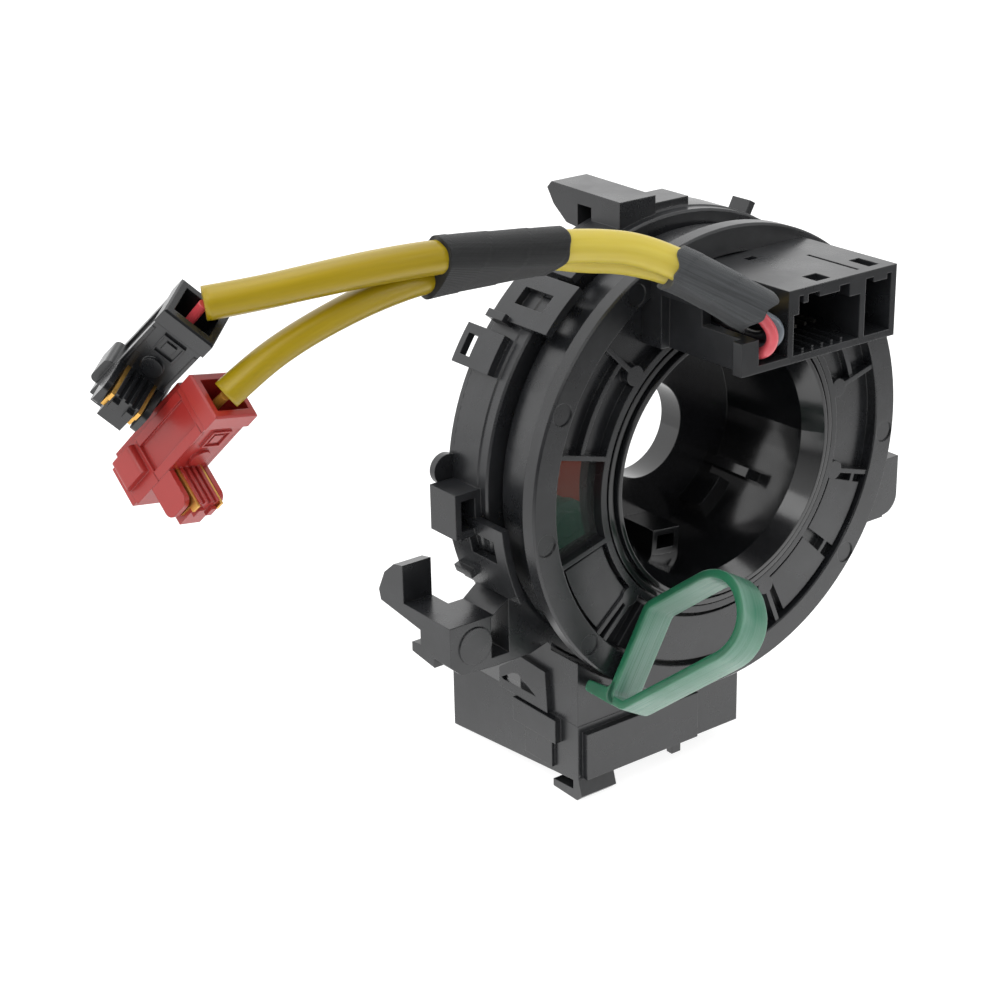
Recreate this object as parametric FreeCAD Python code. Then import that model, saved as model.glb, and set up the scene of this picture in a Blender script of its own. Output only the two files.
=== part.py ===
import FreeCAD, Part
import math
import os
from FreeCAD import Vector

# Steering clock spring: a fixed case behind the wheel, a rotor that turns with the wheel, and
# a flat ribbon cable between them that rolls up over free rollers. Millimetres, +Z up, +Y
# rearwards. The origin is the middle of the shaft bore, on the rotor's axis.

# Clearances
run_gap = 0.3
slip_gap = 0.2
roller_gap = 0.08

# Shaft bore and hub sleeve
bore_radius = 10.4
bore_length = 6.0
bowl_depth = 25.0
bowl_mouth_radius = 24.5
bowl_floor_radius = 23.6
sleeve_radius = 27.2
sleeve_lip_radius = 28.3
sleeve_lip_width = 1.0
funnel_depth = 3.7
funnel_rise = 0.5
flange_radius = 29.7
flange_width = 2.2
hub_floor = 2.0
hub_boss_wall = 2.6

# Rotor disc
rim_radius = 48.0
rim_ring_width = 5.5
rim_height = 3.4
floor_depth = 2.6
floor_thickness = 2.0
skirt_radius = 46.3
skirt_end_radius = 45.3
skirt_depth = 13.0
skirt_wall = 1.4
hub_ring_wall = 1.4
hub_ring_depth = 7.0
rib_thickness = 1.0
rib_front = 0.4
pin_radius = 2.0
pin_circle = 32.6
dot_radius = 2.2
dot_depth = 0.3
dot_circle = 45.3
plate_front = 0.9
window_start = 166.5
window_end = 194.0
window_inner = 32.2
window_outer = 41.0
window_ledge = 0.8
lens_thickness = 1.2

# Fixed case
case_radius = 48.3
case_wall = 1.6
case_front = 14.5
case_rear = 25.2
lip_radius = 48.0
lip_width = 2.5
drum_wall = 1.4
drum_gap = 0.6
drum_front = 5.6
case_floor_front = 22.9
case_floor_rear = 24.5
collar_wall = 1.4
collar_front = 21.2
cover_thickness = 1.6
cover_rib_height = 1.0
cover_rib_count = 12

# Rolling cassette
coil_thickness = 1.2
ribbon_front = 7.0
ribbon_width = 13.8
roller_count = 6
first_roller_angle = 192.0
carrier_thickness = 1.4
carrier_margin = 1.4
post_radius = 2.0

# Clip plates round the case
clip_radius = 50.0
clip_wall = 1.6

# Steering switch connector on the rotor
box_left = -19.6
box_right = 19.5
box_bottom = 28.5
box_top = 42.4
box_front = -24.8
box_wall = 1.4
divider_left = -8.3
divider_right = 10.7
socket_back = -8.0
pin_pitch = 2.48
terminal_side = 0.64
lower_pin_count = 6
upper_pin_count = 5
lower_pin_height = 31.6
upper_pin_height = 38.4
first_pin_x = -5.1
terminal_length = 8.0

# Lower connector block of the case
block_left = -32.5
block_right = 10.8
block_front = 6.5
block_rear = 49.0
block_top = -50.5
block_bottom = -63.0
block_rear_bottom = -67.0
block_wall = 1.6
block_roof = 3.0
block_bay_wall_depth = 27.5
pad_left = -31.3
pad_right = -1.6
pad_rise = 1.5
lower_pin_pitch = 3.0

# Lock key
key_angle = -120.0
key_side = -0.5
key_width = 7.6
key_wall = 2.3

# Wiring
sleeve_a_diameter = 6.0
sleeve_b_diameter = 5.4
wire_diameter = 1.7
tape_wall = 0.6
plug_length = 25.0
plug_width = 9.4
plug_thickness = 7.4
barrel_length = 6.5

# Values worked out from the driving dimensions
face_y = -(bowl_depth + bore_length / 2)
hub_rear = bowl_depth + bore_length
drum_outer = skirt_end_radius - skirt_wall - drum_gap
drum_inner = drum_outer - drum_wall
collar_radius = sleeve_radius + run_gap
ring_inner = flange_radius + run_gap
disc_inner = ring_inner + hub_ring_wall
rim_inner = rim_radius - rim_ring_width
cover_front = case_rear
cover_rear = case_rear + cover_thickness
outer_coil_out = drum_inner - run_gap
outer_coil_in = outer_coil_out - coil_thickness
inner_coil_in = sleeve_radius + run_gap
inner_coil_out = inner_coil_in + coil_thickness
roller_circle = (outer_coil_in + inner_coil_out) / 2
roller_radius = (outer_coil_in - inner_coil_out) / 2 - run_gap
carrier_rear = case_floor_front - run_gap
carrier_front = carrier_rear - carrier_thickness
ribbon_rear = ribbon_front + ribbon_width
floor_rear = floor_depth + floor_thickness


def at(depth):
    """Row y of a depth measured rearwards from the rotor's front face."""
    return face_y + depth


def lathe(profile):
    """Solid of revolution about Y from (radius, depth) corners."""
    wire = Part.makePolygon([Vector(r, at(d), 0) for r, d in profile + profile[:1]])
    return Part.Face(wire).revolve(Vector(0, 0, 0), Vector(0, 1, 0), 360)


def turn(shape, angle):
    """Turn a shape about Y so that +X goes to the given angle, counted towards +Z."""
    copy = shape.copy()
    copy.rotate(Vector(0, 0, 0), Vector(0, 1, 0), -angle)
    return copy


def sector(r_in, r_out, front, rear, start, end):
    """Part of a flat ring between two angles in degrees."""
    corners = [(r_in, front), (r_out, front), (r_out, rear), (r_in, rear), (r_in, front)]
    face = Part.Face(Part.makePolygon([Vector(r, at(d), 0) for r, d in corners]))
    swept = face.revolve(Vector(0, 0, 0), Vector(0, 1, 0), -(end - start))
    return turn(swept, start)


def ring(r_in, r_out, front, rear):
    return lathe([(r_in, front), (r_out, front), (r_out, rear), (r_in, rear)])


def block(x0, x1, front, rear, z0, z1):
    return Part.makeBox(x1 - x0, rear - front, z1 - z0, Vector(x0, at(front), z0))


def prism_y(corners, front, rear):
    """Outline of (x, z) corners carried from one depth to another."""
    wire = Part.makePolygon([Vector(x, at(front), z) for x, z in corners + corners[:1]])
    return Part.Face(wire).extrude(Vector(0, rear - front, 0))


def prism_x(corners, x0, x1):
    """Outline of (depth, z) corners carried from one x to another."""
    wire = Part.makePolygon([Vector(x0, at(d), z) for d, z in corners + corners[:1]])
    return Part.Face(wire).extrude(Vector(x1 - x0, 0, 0))


def rod(x, z, radius, front, rear):
    return Part.makeCylinder(radius, rear - front, Vector(x, at(front), z), Vector(0, 1, 0))


def polar_rod(circle, angle, radius, front, rear):
    x = circle * math.cos(math.radians(angle))
    z = circle * math.sin(math.radians(angle))
    return rod(x, z, radius, front, rear)


def spoke(r_in, r_out, front, rear, angle, thickness):
    bar = block(r_in, r_out, front, rear, -thickness / 2, thickness / 2)
    return turn(bar, angle)


def joined(shapes):
    """One solid from overlapping shapes."""
    body = shapes[0].multiFuse(shapes[1:]) if len(shapes) > 1 else shapes[0]
    return body.removeSplitter()


def save(name, shape):
    shape.exportStep("parts/" + name + ".step")
    print(name, len(shape.Solids), "solids", round(shape.Volume, 1), "mm3", shape.isValid())


def rotor_sleeve():
    """Hub: front flange, funnel, deep bowl and the bored boss at its floor."""
    shell = lathe([
        (flange_radius, slip_gap), (flange_radius, flange_width), (sleeve_radius, flange_width),
        (sleeve_radius, case_rear + cover_thickness + 0.4),
        (sleeve_lip_radius, case_rear + cover_thickness + 0.4),
        (sleeve_lip_radius, case_rear + cover_thickness + 0.4 + sleeve_lip_width),
        (sleeve_radius - 1.2, case_rear + cover_thickness + 1.2 + sleeve_lip_width),
        (bore_radius + hub_boss_wall, bowl_depth + hub_floor + 2.4),
        (bore_radius + hub_boss_wall, hub_rear), (bore_radius, hub_rear),
        (bore_radius, bowl_depth), (bowl_floor_radius, bowl_depth),
        (bowl_mouth_radius, funnel_depth), (sleeve_radius - 0.2, -funnel_rise),
        (sleeve_radius + 0.6, -funnel_rise), (sleeve_radius + 0.9, 0.9),
        (flange_radius - 1.2, 0.9), (flange_radius - 1.0, slip_gap)])
    lug_reach = bowl_floor_radius - 3.4
    lugs = [turn(block(lug_reach, bowl_floor_radius + 0.8, 12.0, bowl_depth + 0.2, -1.0, 1.0), a)
            for a in (-150.0, -30.0, 90.0)]
    shelves = [sector(bowl_floor_radius - 3.4, bowl_floor_radius + 0.8, 18.5, bowl_depth + 0.2,
                      a, a + 22.0) for a in (-60.0, 60.0)]
    guide = turn(block(bowl_floor_radius - 5.2, bowl_floor_radius + 0.8, 15.0, bowl_depth + 0.2,
                       -3.6, 3.6), -96.0)
    guide = guide.cut(turn(block(bowl_floor_radius - 3.9, bowl_floor_radius - 1.0, 14.0,
                                 bowl_depth - 3.0, -2.3, 2.3), -96.0))
    body = joined([shell, guide] + lugs + shelves)
    notch = prism_y([(bore_radius - 0.8, -2.2), (bore_radius + 1.7, -0.6),
                     (bore_radius - 0.8, 1.0)], hub_rear - 2.0, hub_rear + 1.0)
    return body.cut(turn(notch, 196.0))


def pin_bosses():
    angles = (134.8, 15.0, -16.8, -67.6, -137.5)
    return [polar_rod(pin_circle, a, pin_radius, rib_front, floor_rear) for a in angles]


def rotor_disc():
    """Front disc: rim ring, skirt, recessed floor, ribs, raised plates and window frame."""
    shell = lathe([
        (ring_inner, rib_front), (disc_inner, rib_front), (disc_inner, floor_depth),
        (rim_inner, floor_depth), (rim_inner, 0.2), (rim_inner + 0.2, 0.0),
        (rim_radius - 0.4, 0.0), (rim_radius, 0.4), (rim_radius, rim_height),
        (skirt_radius, rim_height + 0.3), (skirt_end_radius, skirt_depth),
        (skirt_end_radius - skirt_wall, skirt_depth), (skirt_radius - skirt_wall - 1.0, floor_rear),
        (disc_inner, floor_rear), (disc_inner, hub_ring_depth),
        (sleeve_radius + run_gap + coil_thickness + 0.6, hub_ring_depth - 0.4),
        (sleeve_radius + run_gap, flange_width + 1.6), (sleeve_radius + run_gap, flange_width),
        (ring_inner, flange_width)])
    rib_base = floor_depth + 0.3
    ribs = [spoke(disc_inner - 0.3, rim_inner + 0.2, rib_front, rib_base, a, rib_thickness)
            for a in (134.8, 15.0, -16.8, -67.6, -136.2, -139.4, window_start - 1.6,
                      window_end + 1.6)]
    hoops = [sector(r, r + rib_thickness, 0.9, rib_base, a, b)
             for r, a, b in ((36.4, 134.8, 164.9), (36.4, 15.0, 60.0), (38.6, -60.0, -17.0))]
    plates = [sector(disc_inner + 0.9, rim_inner - 0.8, plate_front, rib_base, a, b)
              for a, b in ((197.4, 219.8), (-130.0, -72.0), (-64.0, -44.0), (-40.0, -20.0))]
    body = joined([shell] + ribs + hoops + plates + pin_bosses())
    opening = sector(window_inner, window_outer, 0.0, floor_rear + 1.0, window_start, window_end)
    seat = sector(window_inner - window_ledge, window_outer + window_ledge, 0.0,
                  floor_depth + lens_thickness, window_start, window_end)
    body = body.cut(opening).cut(seat)
    for angle in (154.4, 120.6, -173.0, -139.9, -5.2, -39.5, -90.0):
        body = body.cut(polar_rod(dot_circle, angle, dot_radius, -1.0, dot_depth))
    return body


def window_lens():
    return sector(window_inner - window_ledge + 0.1, window_outer + window_ledge - 0.1,
                  floor_depth, floor_depth + lens_thickness,
                  window_start + 0.2, window_end - 0.2)


def connector_housing():
    """Two-socket switch connector with an open wire bay at its left end."""
    back = floor_depth
    outer = block(box_left, box_right, box_front, back, box_bottom, box_top)
    outer = outer.cut(ring(rim_inner - slip_gap, rim_radius + 20, 0.0, back + 1.0))
    outer = outer.cut(ring(1.0, disc_inner + slip_gap, -slip_gap - funnel_rise, back + 1.0))
    for r, a, b in ((36.4, 15.0, 60.0),):
        outer = outer.cut(sector(r - slip_gap, r + rib_thickness + slip_gap, 0.7, back + 1.0,
                                 a, b + 1.0))
    main = block(divider_left + box_wall, divider_right - box_wall / 2, box_front - 1,
                 socket_back, box_bottom + box_wall, box_top - box_wall)
    small = block(divider_right + box_wall / 2, box_right - box_wall, box_front - 1,
                  socket_back, box_bottom + box_wall, box_top - box_wall)
    bay = block(box_left + 4.1, divider_left, box_front - 1, -10.0,
                box_bottom + box_wall, box_top + 1)
    bay_top_left = block(box_left - 1, divider_left, box_front - 1, -12.0, 34.8, box_top + 1)
    groove = block(box_left - 1, box_left + 2.0, box_front + 2.4, -3.0, box_bottom - 1, 39.0)
    slot = block(divider_right + 0.2, divider_right + 0.9, -22.8, -9.6,
                 box_top - box_wall - 0.5, box_top + 1)
    windows = [block(0.1, 3.7, -23.2, -19.4, box_top - box_wall - 0.5, box_top + 1),
               block(14.2, 16.9, -22.7, -17.4, box_top - box_wall - 0.5, box_top + 1),
               block(0.4, 2.8, -5.0, -3.2, box_top - 2.0, box_top + 1)]
    body = outer
    for hollow in [main, small, bay, bay_top_left, groove, slot] + windows:
        body = body.cut(hollow)
    keys = [block(x0, x1, box_front, -12.0, box_top - box_wall - h, box_top - box_wall + 0.2)
            for x0, x1, h in ((-6.9, -5.7, 3.4), (-4.6, -3.4, 1.5), (-0.6, 4.6, 1.0),
                              (7.2, 10.2, 2.6), (13.4, 17.0, 1.0))]
    rails = [block(first_pin_x + pin_pitch * (i + 0.5) - 0.3, first_pin_x + pin_pitch * (i + 0.5)
                   + 0.3, box_front + 0.6, socket_back - 6.0, box_bottom + box_wall - 0.2,
                   box_bottom + box_wall + 0.8) for i in range(lower_pin_count - 1)]
    return joined([body] + keys + rails)


def switch_terminals():
    """Square pins of the main socket, rooted in the socket's back wall."""
    pins = []
    half = terminal_side / 2
    for row_z, count, shift in ((lower_pin_height, lower_pin_count, 0.0),
                                (upper_pin_height, upper_pin_count, 0.0)):
        for i in range(count):
            x = first_pin_x + shift + pin_pitch * i
            pins.append(block(x - half, x + half, socket_back - terminal_length, socket_back,
                              row_z - half, row_z + half))
    for i in range(2):
        x = divider_right + 2.9 + pin_pitch * i
        pins.append(block(x - half, x + half, socket_back - terminal_length, socket_back,
                          35.4 - half, 35.4 + half))
    return Part.makeCompound(pins)


def clip_plate(start, end, front, rear, slot_start, slot_end, slot_front, slot_rear):
    """Snap plate that stands proud of the drum, with a window for its hook."""
    plate = sector(clip_radius - clip_wall, clip_radius, front, rear, start, end)
    root_rear = min(rear, case_rear)
    root = sector(case_radius - 0.4, clip_radius - clip_wall + 0.2, max(front, case_front + 3.0),
                  root_rear, start + 0.6, end - 0.6)
    plate = joined([plate, root])
    return plate.cut(sector(clip_radius - clip_wall - 0.6, clip_radius + 1, slot_front, slot_rear,
                            slot_start, slot_end))


def left_hook():
    """Snap arm at the left: plate with a slot, barbed upper beam and a short lower prong."""
    base = prism_y([(-57.5, -24.3), (-47.0, -24.3), (-40.0, -19.0), (-33.0, -19.0),
                    (-33.0, -34.0), (-38.0, -35.4), (-47.0, -35.4), (-55.0, -34.9),
                    (-57.5, -32.6)], 14.5, 24.5)
    base = base.cut(prism_y([(-47.6, -24.8), (-43.3, -22.0), (-43.3, -33.4), (-47.6, -33.4)],
                            13.0, 26.0))
    beam = prism_x([(20.0, -28.6), (38.0, -26.2), (38.6, -24.0), (36.4, -19.6), (33.0, -16.8),
                    (30.0, -16.2), (30.0, -24.3), (20.0, -24.3)], -57.5, -50.6)
    prong = prism_x([(20.0, -34.6), (27.5, -33.6), (27.5, -31.6), (20.0, -30.6)], -57.5, -52.5)
    cap = rod(-51.5, -29.6, 3.9, 14.2, 14.6)
    return [base, beam, prong, cap]


def right_hook():
    """Snap arm at the right, with a rounded lower corner."""
    plate = block(42.0, 60.0, 13.0, 19.0, -31.6, -18.0)
    nose = rod(60.0, -27.0, 4.2, 13.0, 19.0)
    upper = block(58.0, 64.2, 13.0, 19.0, -27.0, -18.0)
    beam = prism_x([(18.0, -22.6), (34.0, -21.0), (35.0, -19.0), (30.0, -14.0), (28.0, -14.0),
                    (28.0, -18.0), (18.0, -18.0)], 57.5, 64.2)
    return [plate, nose, upper, beam]


def top_arm():
    """Snap arm over the drum's top, hooked behind the rear cover."""
    beam = prism_x([(16.6, 46.0), (16.6, 51.6), (37.6, 52.0), (39.0, 50.6), (37.0, 47.6),
                    (33.0, 44.6), (29.4, 44.2), (29.4, 49.0), (25.2, 49.0), (25.2, 46.0)],
                   -13.2, -4.2)
    step = prism_x([(17.4, 46.0), (17.4, 49.8), (25.2, 49.8), (25.2, 46.0)], -4.6, 5.0)
    return [beam, step]


def hollow_boss():
    """Square boss at the left with a pocket in its front face."""
    outer = block(-54.0, -47.4, 16.4, 24.6, -7.4, 1.8)
    return outer.cut(block(-52.6, -49.4, 15.4, 22.0, -5.9, 0.3))


def case_saddle():
    """Foot that carries the lower connector block under the drum."""
    foot = prism_y([(block_left, block_top), (block_left, -35.0), (-20.0, -40.0), (4.0, -44.0),
                    (block_right, -44.0), (block_right, block_top)], block_front, case_rear)
    return foot.cut(rod(0, 0, case_radius + 0.5, 0.0, case_front + 0.5)).cut(
        rod(0, 0, case_radius - 1.0, case_front, case_rear + 1))


def stator_case():
    """Fixed drum with its front lip, inner wall, floor, clips and snap arms."""
    shell = lathe([
        (collar_radius, collar_front), (collar_radius + collar_wall, collar_front),
        (collar_radius + collar_wall, case_floor_front), (drum_inner, case_floor_front),
        (drum_inner, drum_front), (drum_outer, drum_front), (drum_outer, case_front),
        (lip_radius - 0.4, case_front), (lip_radius, case_front + 0.4),
        (lip_radius, case_front + lip_width), (case_radius, case_front + lip_width + 0.3),
        (case_radius, case_rear), (case_radius - case_wall, case_rear),
        (case_radius - case_wall, case_front + case_wall), (drum_outer, case_front + case_wall),
        (drum_outer, case_floor_rear), (collar_radius, case_floor_rear)])
    upper_clip = clip_plate(126.8, 139.6, 8.3, case_rear, 130.8, 135.3, 12.6, 21.0)
    small_clip = clip_plate(118.6, 125.4, 12.0, case_rear, 120.4, 123.6, 14.4, 19.0)
    rear_clip = clip_plate(142.8, 152.2, 18.5, 30.0, 145.0, 150.0, 25.4, 28.4)
    lower_clip = clip_plate(184.5, 203.5, 7.4, case_rear, 188.0, 193.6, 10.6, 18.6)
    right_clip = clip_plate(22.0, 35.0, 9.0, case_rear, 26.0, 31.0, 12.6, 21.0)
    fins = [sector(case_radius - 0.4, clip_radius + 1.2, 20.0, case_rear, a, a + 1.8)
            for a in (138.6, 189.0, 199.0, 60.0, 44.0)]
    pieces = [shell, upper_clip, small_clip, rear_clip, lower_clip, right_clip, hollow_boss(),
              case_saddle()]
    pieces += fins + left_hook() + right_hook() + top_arm()
    body = joined(pieces)
    rear_groove = ring(drum_outer, case_radius - case_wall, case_front + case_wall, case_rear + 1)
    chamber = ring(collar_radius + collar_wall, drum_inner, drum_front - 8, case_floor_front)
    return body.cut(rear_groove).cut(chamber)


def rear_cover():
    """Annular back plate with a spigot, stiffening ring and ribs."""
    hole = collar_radius
    plate = lathe([
        (hole, cover_front), (case_radius - case_wall - slip_gap - 1.5, cover_front),
        (case_radius - case_wall - slip_gap - 1.5, cover_front - 1.6),
        (case_radius - case_wall - slip_gap, cover_front - 1.6),
        (case_radius - case_wall - slip_gap, cover_front), (case_radius, cover_front),
        (case_radius, cover_rear - 0.4), (case_radius - 0.4, cover_rear),
        (33.0, cover_rear), (33.0, cover_rear + cover_rib_height),
        (31.6, cover_rear + cover_rib_height), (31.6, cover_rear), (hole, cover_rear)])
    ribs = [spoke(32.8, case_radius - 2.0, cover_rear - 0.4, cover_rear + cover_rib_height,
                  360.0 * i / cover_rib_count + 8.0, rib_thickness)
            for i in range(cover_rib_count)]
    tab = rod(-49.2, 3.4, 3.2, cover_front, cover_rear)
    return joined([plate, tab] + ribs)


def lower_housing():
    """Downward-facing connector block: two bays under one roof, with a front name pad."""
    outer = prism_x([(block_front, block_top), (block_front, block_bottom),
                     (block_rear, block_rear_bottom), (block_rear, block_top - 3.0),
                     (block_rear - 3.0, block_top)], block_left, block_right)
    roof = block_top - block_roof
    bays = [(block_left + block_wall, -2.6, block_front + block_wall, block_bay_wall_depth),
            (-1.0, block_right - block_wall, block_front + block_wall, block_bay_wall_depth),
            (block_left + block_wall, block_right - block_wall,
             block_bay_wall_depth + block_wall, block_rear - block_wall)]
    body = outer
    for x0, x1, d0, d1 in bays:
        body = body.cut(block(x0, x1, d0, d1, block_rear_bottom - 5, roof))
    pad = block(pad_left, pad_right, block_front - pad_rise, block_front + 0.2,
                block_bottom + 0.6, block_top - 1.6)
    lips = [prism_x([(block_front, block_bottom + 1.0), (block_front - 1.2, -66.0),
                     (block_front + 0.4, -67.4), (14.6, -67.2), (14.6, -65.6),
                     (block_front + 1.6, -65.2), (block_front + 1.6, block_bottom + 1.0)],
                    block_left, block_left + 9.0),
            prism_x([(block_front, block_bottom + 1.0), (block_front, -65.2),
                     (block_front + 1.6, -65.2), (block_front + 1.6, block_bottom + 1.0)],
                    -7.4, -5.0)]
    side_clip = block(block_left - 1.5, block_left, 12.0, 26.0, block_top - 5.6, block_top - 0.4)
    side_rib = block(block_left - 0.8, block_left + 0.2, 14.0, 23.0, block_bottom + 0.6,
                     block_top - 5.0)
    right_step = block(block_right - 0.2, block_right + 1.0, 10.0, 40.0, block_bottom, -56.0)
    back_ribs = [block(x, x + 1.2, block_rear - 0.2, block_rear + 0.8, -64.0, block_top - 5.0)
                 for x in (-24.0, -11.0, 2.0)]
    return joined([body, pad, side_clip, side_rib, right_step] + lips + back_ribs)


def lower_terminals():
    """Round pins that hang from the roof of the two main bays."""
    roof = block_top - block_roof
    half = terminal_side / 2
    pins = []
    for depth in (13.0, 17.5, 22.0):
        for i in range(8):
            x = block_left + 5.0 + lower_pin_pitch * i
            pins.append(block(x - half, x + half, depth - half, depth + half, roof - 8.0, roof))
    for depth in (34.0, 41.0):
        for i in range(10):
            x = block_left + 7.0 + lower_pin_pitch * i
            pins.append(block(x - half, x + half, depth - half, depth + half, roof - 8.0, roof))
    return Part.makeCompound(pins)


def roller_angles():
    return [first_roller_angle + 360.0 * i / roller_count for i in range(roller_count)]


def ribbon_cable():
    """Flat cable stack: outer turns, a U-turn round one roller, inner turns."""
    bend = first_roller_angle + 360.0 / roller_count * 2
    outer = sector(outer_coil_in, outer_coil_out, ribbon_front, ribbon_rear, bend, bend + 352.0)
    inner = sector(inner_coil_in, inner_coil_out, ribbon_front, ribbon_rear, bend, bend + 352.0)
    loop_out = (outer_coil_out - inner_coil_in) / 2
    centre = (outer_coil_out + inner_coil_in) / 2
    loop = Part.makeCylinder(loop_out, ribbon_width, Vector(centre, at(ribbon_front), 0),
                             Vector(0, 1, 0))
    loop = loop.cut(Part.makeCylinder(loop_out - coil_thickness, ribbon_width,
                                      Vector(centre, at(ribbon_front), 0), Vector(0, 1, 0)))
    half = Part.makeBox(2 * loop_out + 2, ribbon_width, loop_out + 1,
                        Vector(centre - loop_out - 1, at(ribbon_front), -loop_out - 1))
    return joined([outer, inner, turn(loop.common(half), bend)])


def roller_carrier():
    """Flat ring with a post for each roller."""
    reach = roller_radius - carrier_margin
    body = [ring(roller_circle - reach, roller_circle + reach, carrier_front, carrier_rear)]
    for angle in roller_angles():
        body.append(polar_rod(roller_circle, angle, post_radius, ribbon_front + 0.6,
                              carrier_rear - 0.2))
    return joined(body)


def guide_roller(angle):
    """Spool with a bore that turns on its post."""
    front = ribbon_front + 0.4
    rear = carrier_front - run_gap
    body = polar_rod(roller_circle, angle, roller_radius, front, rear)
    waist = polar_rod(roller_circle, angle, roller_radius + 1, front + 2.2, rear - 2.2).cut(
        polar_rod(roller_circle, angle, roller_radius - 0.6, front + 2.2, rear - 2.2))
    bore = polar_rod(roller_circle, angle, post_radius + roller_gap, front - 1, rear + 1)
    relief = polar_rod(roller_circle, angle, roller_radius - 1.2, front - 1, front + 1.6).cut(
        polar_rod(roller_circle, angle, post_radius + 1.0, front - 1, front + 1.6))
    return body.cut(waist).cut(bore).cut(relief)


def key_point(forward, radial, side):
    """Point in the key's own frame: forward of the face, out along its radius, to its side."""
    a = math.radians(key_angle)
    out = Vector(math.cos(a), 0, math.sin(a))
    across = Vector(math.sin(a), 0, -math.cos(a))
    return Vector(0, at(-forward), 0) + out * radial + across * side


def key_band(points, rounds):
    """Closed outline with rounded corners as a face in the key's plane."""
    count = len(points)
    corner = [key_point(f, r, key_side) for f, r in points]
    edges = []
    ends = []
    for i in range(count):
        p, before, after = corner[i], corner[i - 1], corner[(i + 1) % count]
        u = (before - p).normalize()
        v = (after - p).normalize()
        half = u.getAngle(v) / 2
        size = rounds[i] / math.tan(half)
        middle = (u + v).normalize() * (rounds[i] / math.sin(half) - rounds[i])
        ends.append((p + u * size, p + middle, p + v * size))
    for i in range(count):
        a, m, b = ends[i]
        edges.append(Part.Arc(a, m, b).toShape())
        edges.append(Part.LineSegment(b, ends[(i + 1) % count][0]).toShape())
    return Part.Face(Part.Wire(Part.sortEdges(edges)[0]))


def lock_key():
    """D-shaped pull loop with a short leg that reaches back beside the rim."""
    outline = [(0.3, 30.4), (13.2, 19.2), (26.6, 21.4), (26.8, 35.4), (5.8, 53.4), (0.3, 52.2)]
    rounds = [3.4, 5.0, 6.5, 7.0, 3.6, 1.2]
    inner = [(0.3 + key_wall, 48.4), (0.3 + key_wall, 31.4), (14.0, 21.8), (24.4, 23.6),
             (24.4, 34.2), (5.9, 50.2)]
    inner_rounds = [1.2, 2.0, 3.0, 4.4, 5.0, 1.4]
    a = math.radians(key_angle)
    across = Vector(math.sin(a), 0, -math.cos(a)) * key_width
    band = key_band(outline, rounds).extrude(across)
    band = band.cut(key_band(inner, inner_rounds).extrude(across))
    leg = key_band([(4.0, 49.2), (-4.4, 49.2), (-4.4, 51.9), (4.0, 53.0)],
                   [0.4, 0.9, 0.9, 0.4]).extrude(across)
    return joined([band, leg])


def cord_path(points):
    """Straight runs joined by tangent arcs: the wire, its length and the arcs' radii."""
    route = [Vector(*p) for p in points]
    edges = []
    start = route[0]
    radii = []
    length = 0.0
    for i in range(1, len(route) - 1):
        before = route[i] - route[i - 1]
        after = route[i + 1] - route[i]
        size = 0.45 * min(before.Length, after.Length)
        u = Vector(before).normalize()
        v = Vector(after).normalize()
        half = u.getAngle(v) / 2
        radius = size / math.tan(half)
        radii.append(round(radius, 1))
        a = route[i] - u * size
        b = route[i] + v * size
        middle = route[i] + (v - u).normalize() * (radius / math.cos(half) - radius)
        edges.append(Part.LineSegment(start, a).toShape())
        edges.append(Part.Arc(a, middle, b).toShape())
        length += (a - start).Length + radius * 2 * half
        start = b
    edges.append(Part.LineSegment(start, route[-1]).toShape())
    length += (route[-1] - start).Length
    return Part.Wire(edges), length, radii


def tube(name, points, diameter):
    """Round cord along its route; prints the arcs' radii and its volume against its length."""
    path, length, radii = cord_path(points)
    first = Vector(*points[1]) - Vector(*points[0])
    profile = Part.Wire([Part.makeCircle(diameter / 2, Vector(*points[0]), first)])
    solid = path.makePipeShell([profile], True, False)
    ratio = solid.Volume / (math.pi * diameter ** 2 / 4 * length)
    print(name, "radii", radii, "length", round(length, 1), "volume ratio", round(ratio, 4))
    return solid


# Routes of the wiring, as (x, y, z). Both sleeves run side by side through the two tapes.
sleeve_a_route = [(-14.9, -56.0, 42.4), (-18.3, -49.0, 46.6), (-24.4, -42.4, 50.2),
                  (-31.8, -38.2, 52.7), (-40.2, -35.9, 54.4), (-50.2, -34.5, 55.5),
                  (-61.0, -33.7, 56.2), (-72.4, -33.2, 56.7), (-84.0, -33.0, 57.0),
                  (-95.4, -32.9, 57.0), (-106.0, -32.8, 56.7), (-115.0, -32.6, 56.2)]
sleeve_b_route = [(-19.0, -54.4, 38.4), (-21.2, -47.2, 42.1), (-26.2, -40.0, 45.5),
                  (-32.6, -35.4, 47.8), (-40.6, -33.0, 49.6), (-50.4, -31.6, 50.7),
                  (-61.0, -30.8, 51.4), (-71.6, -30.6, 51.7), (-82.0, -31.4, 51.2),
                  (-91.6, -32.0, 49.8), (-100.4, -32.2, 47.4), (-107.4, -32.2, 44.4),
                  (-112.4, -32.0, 41.4)]
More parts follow.
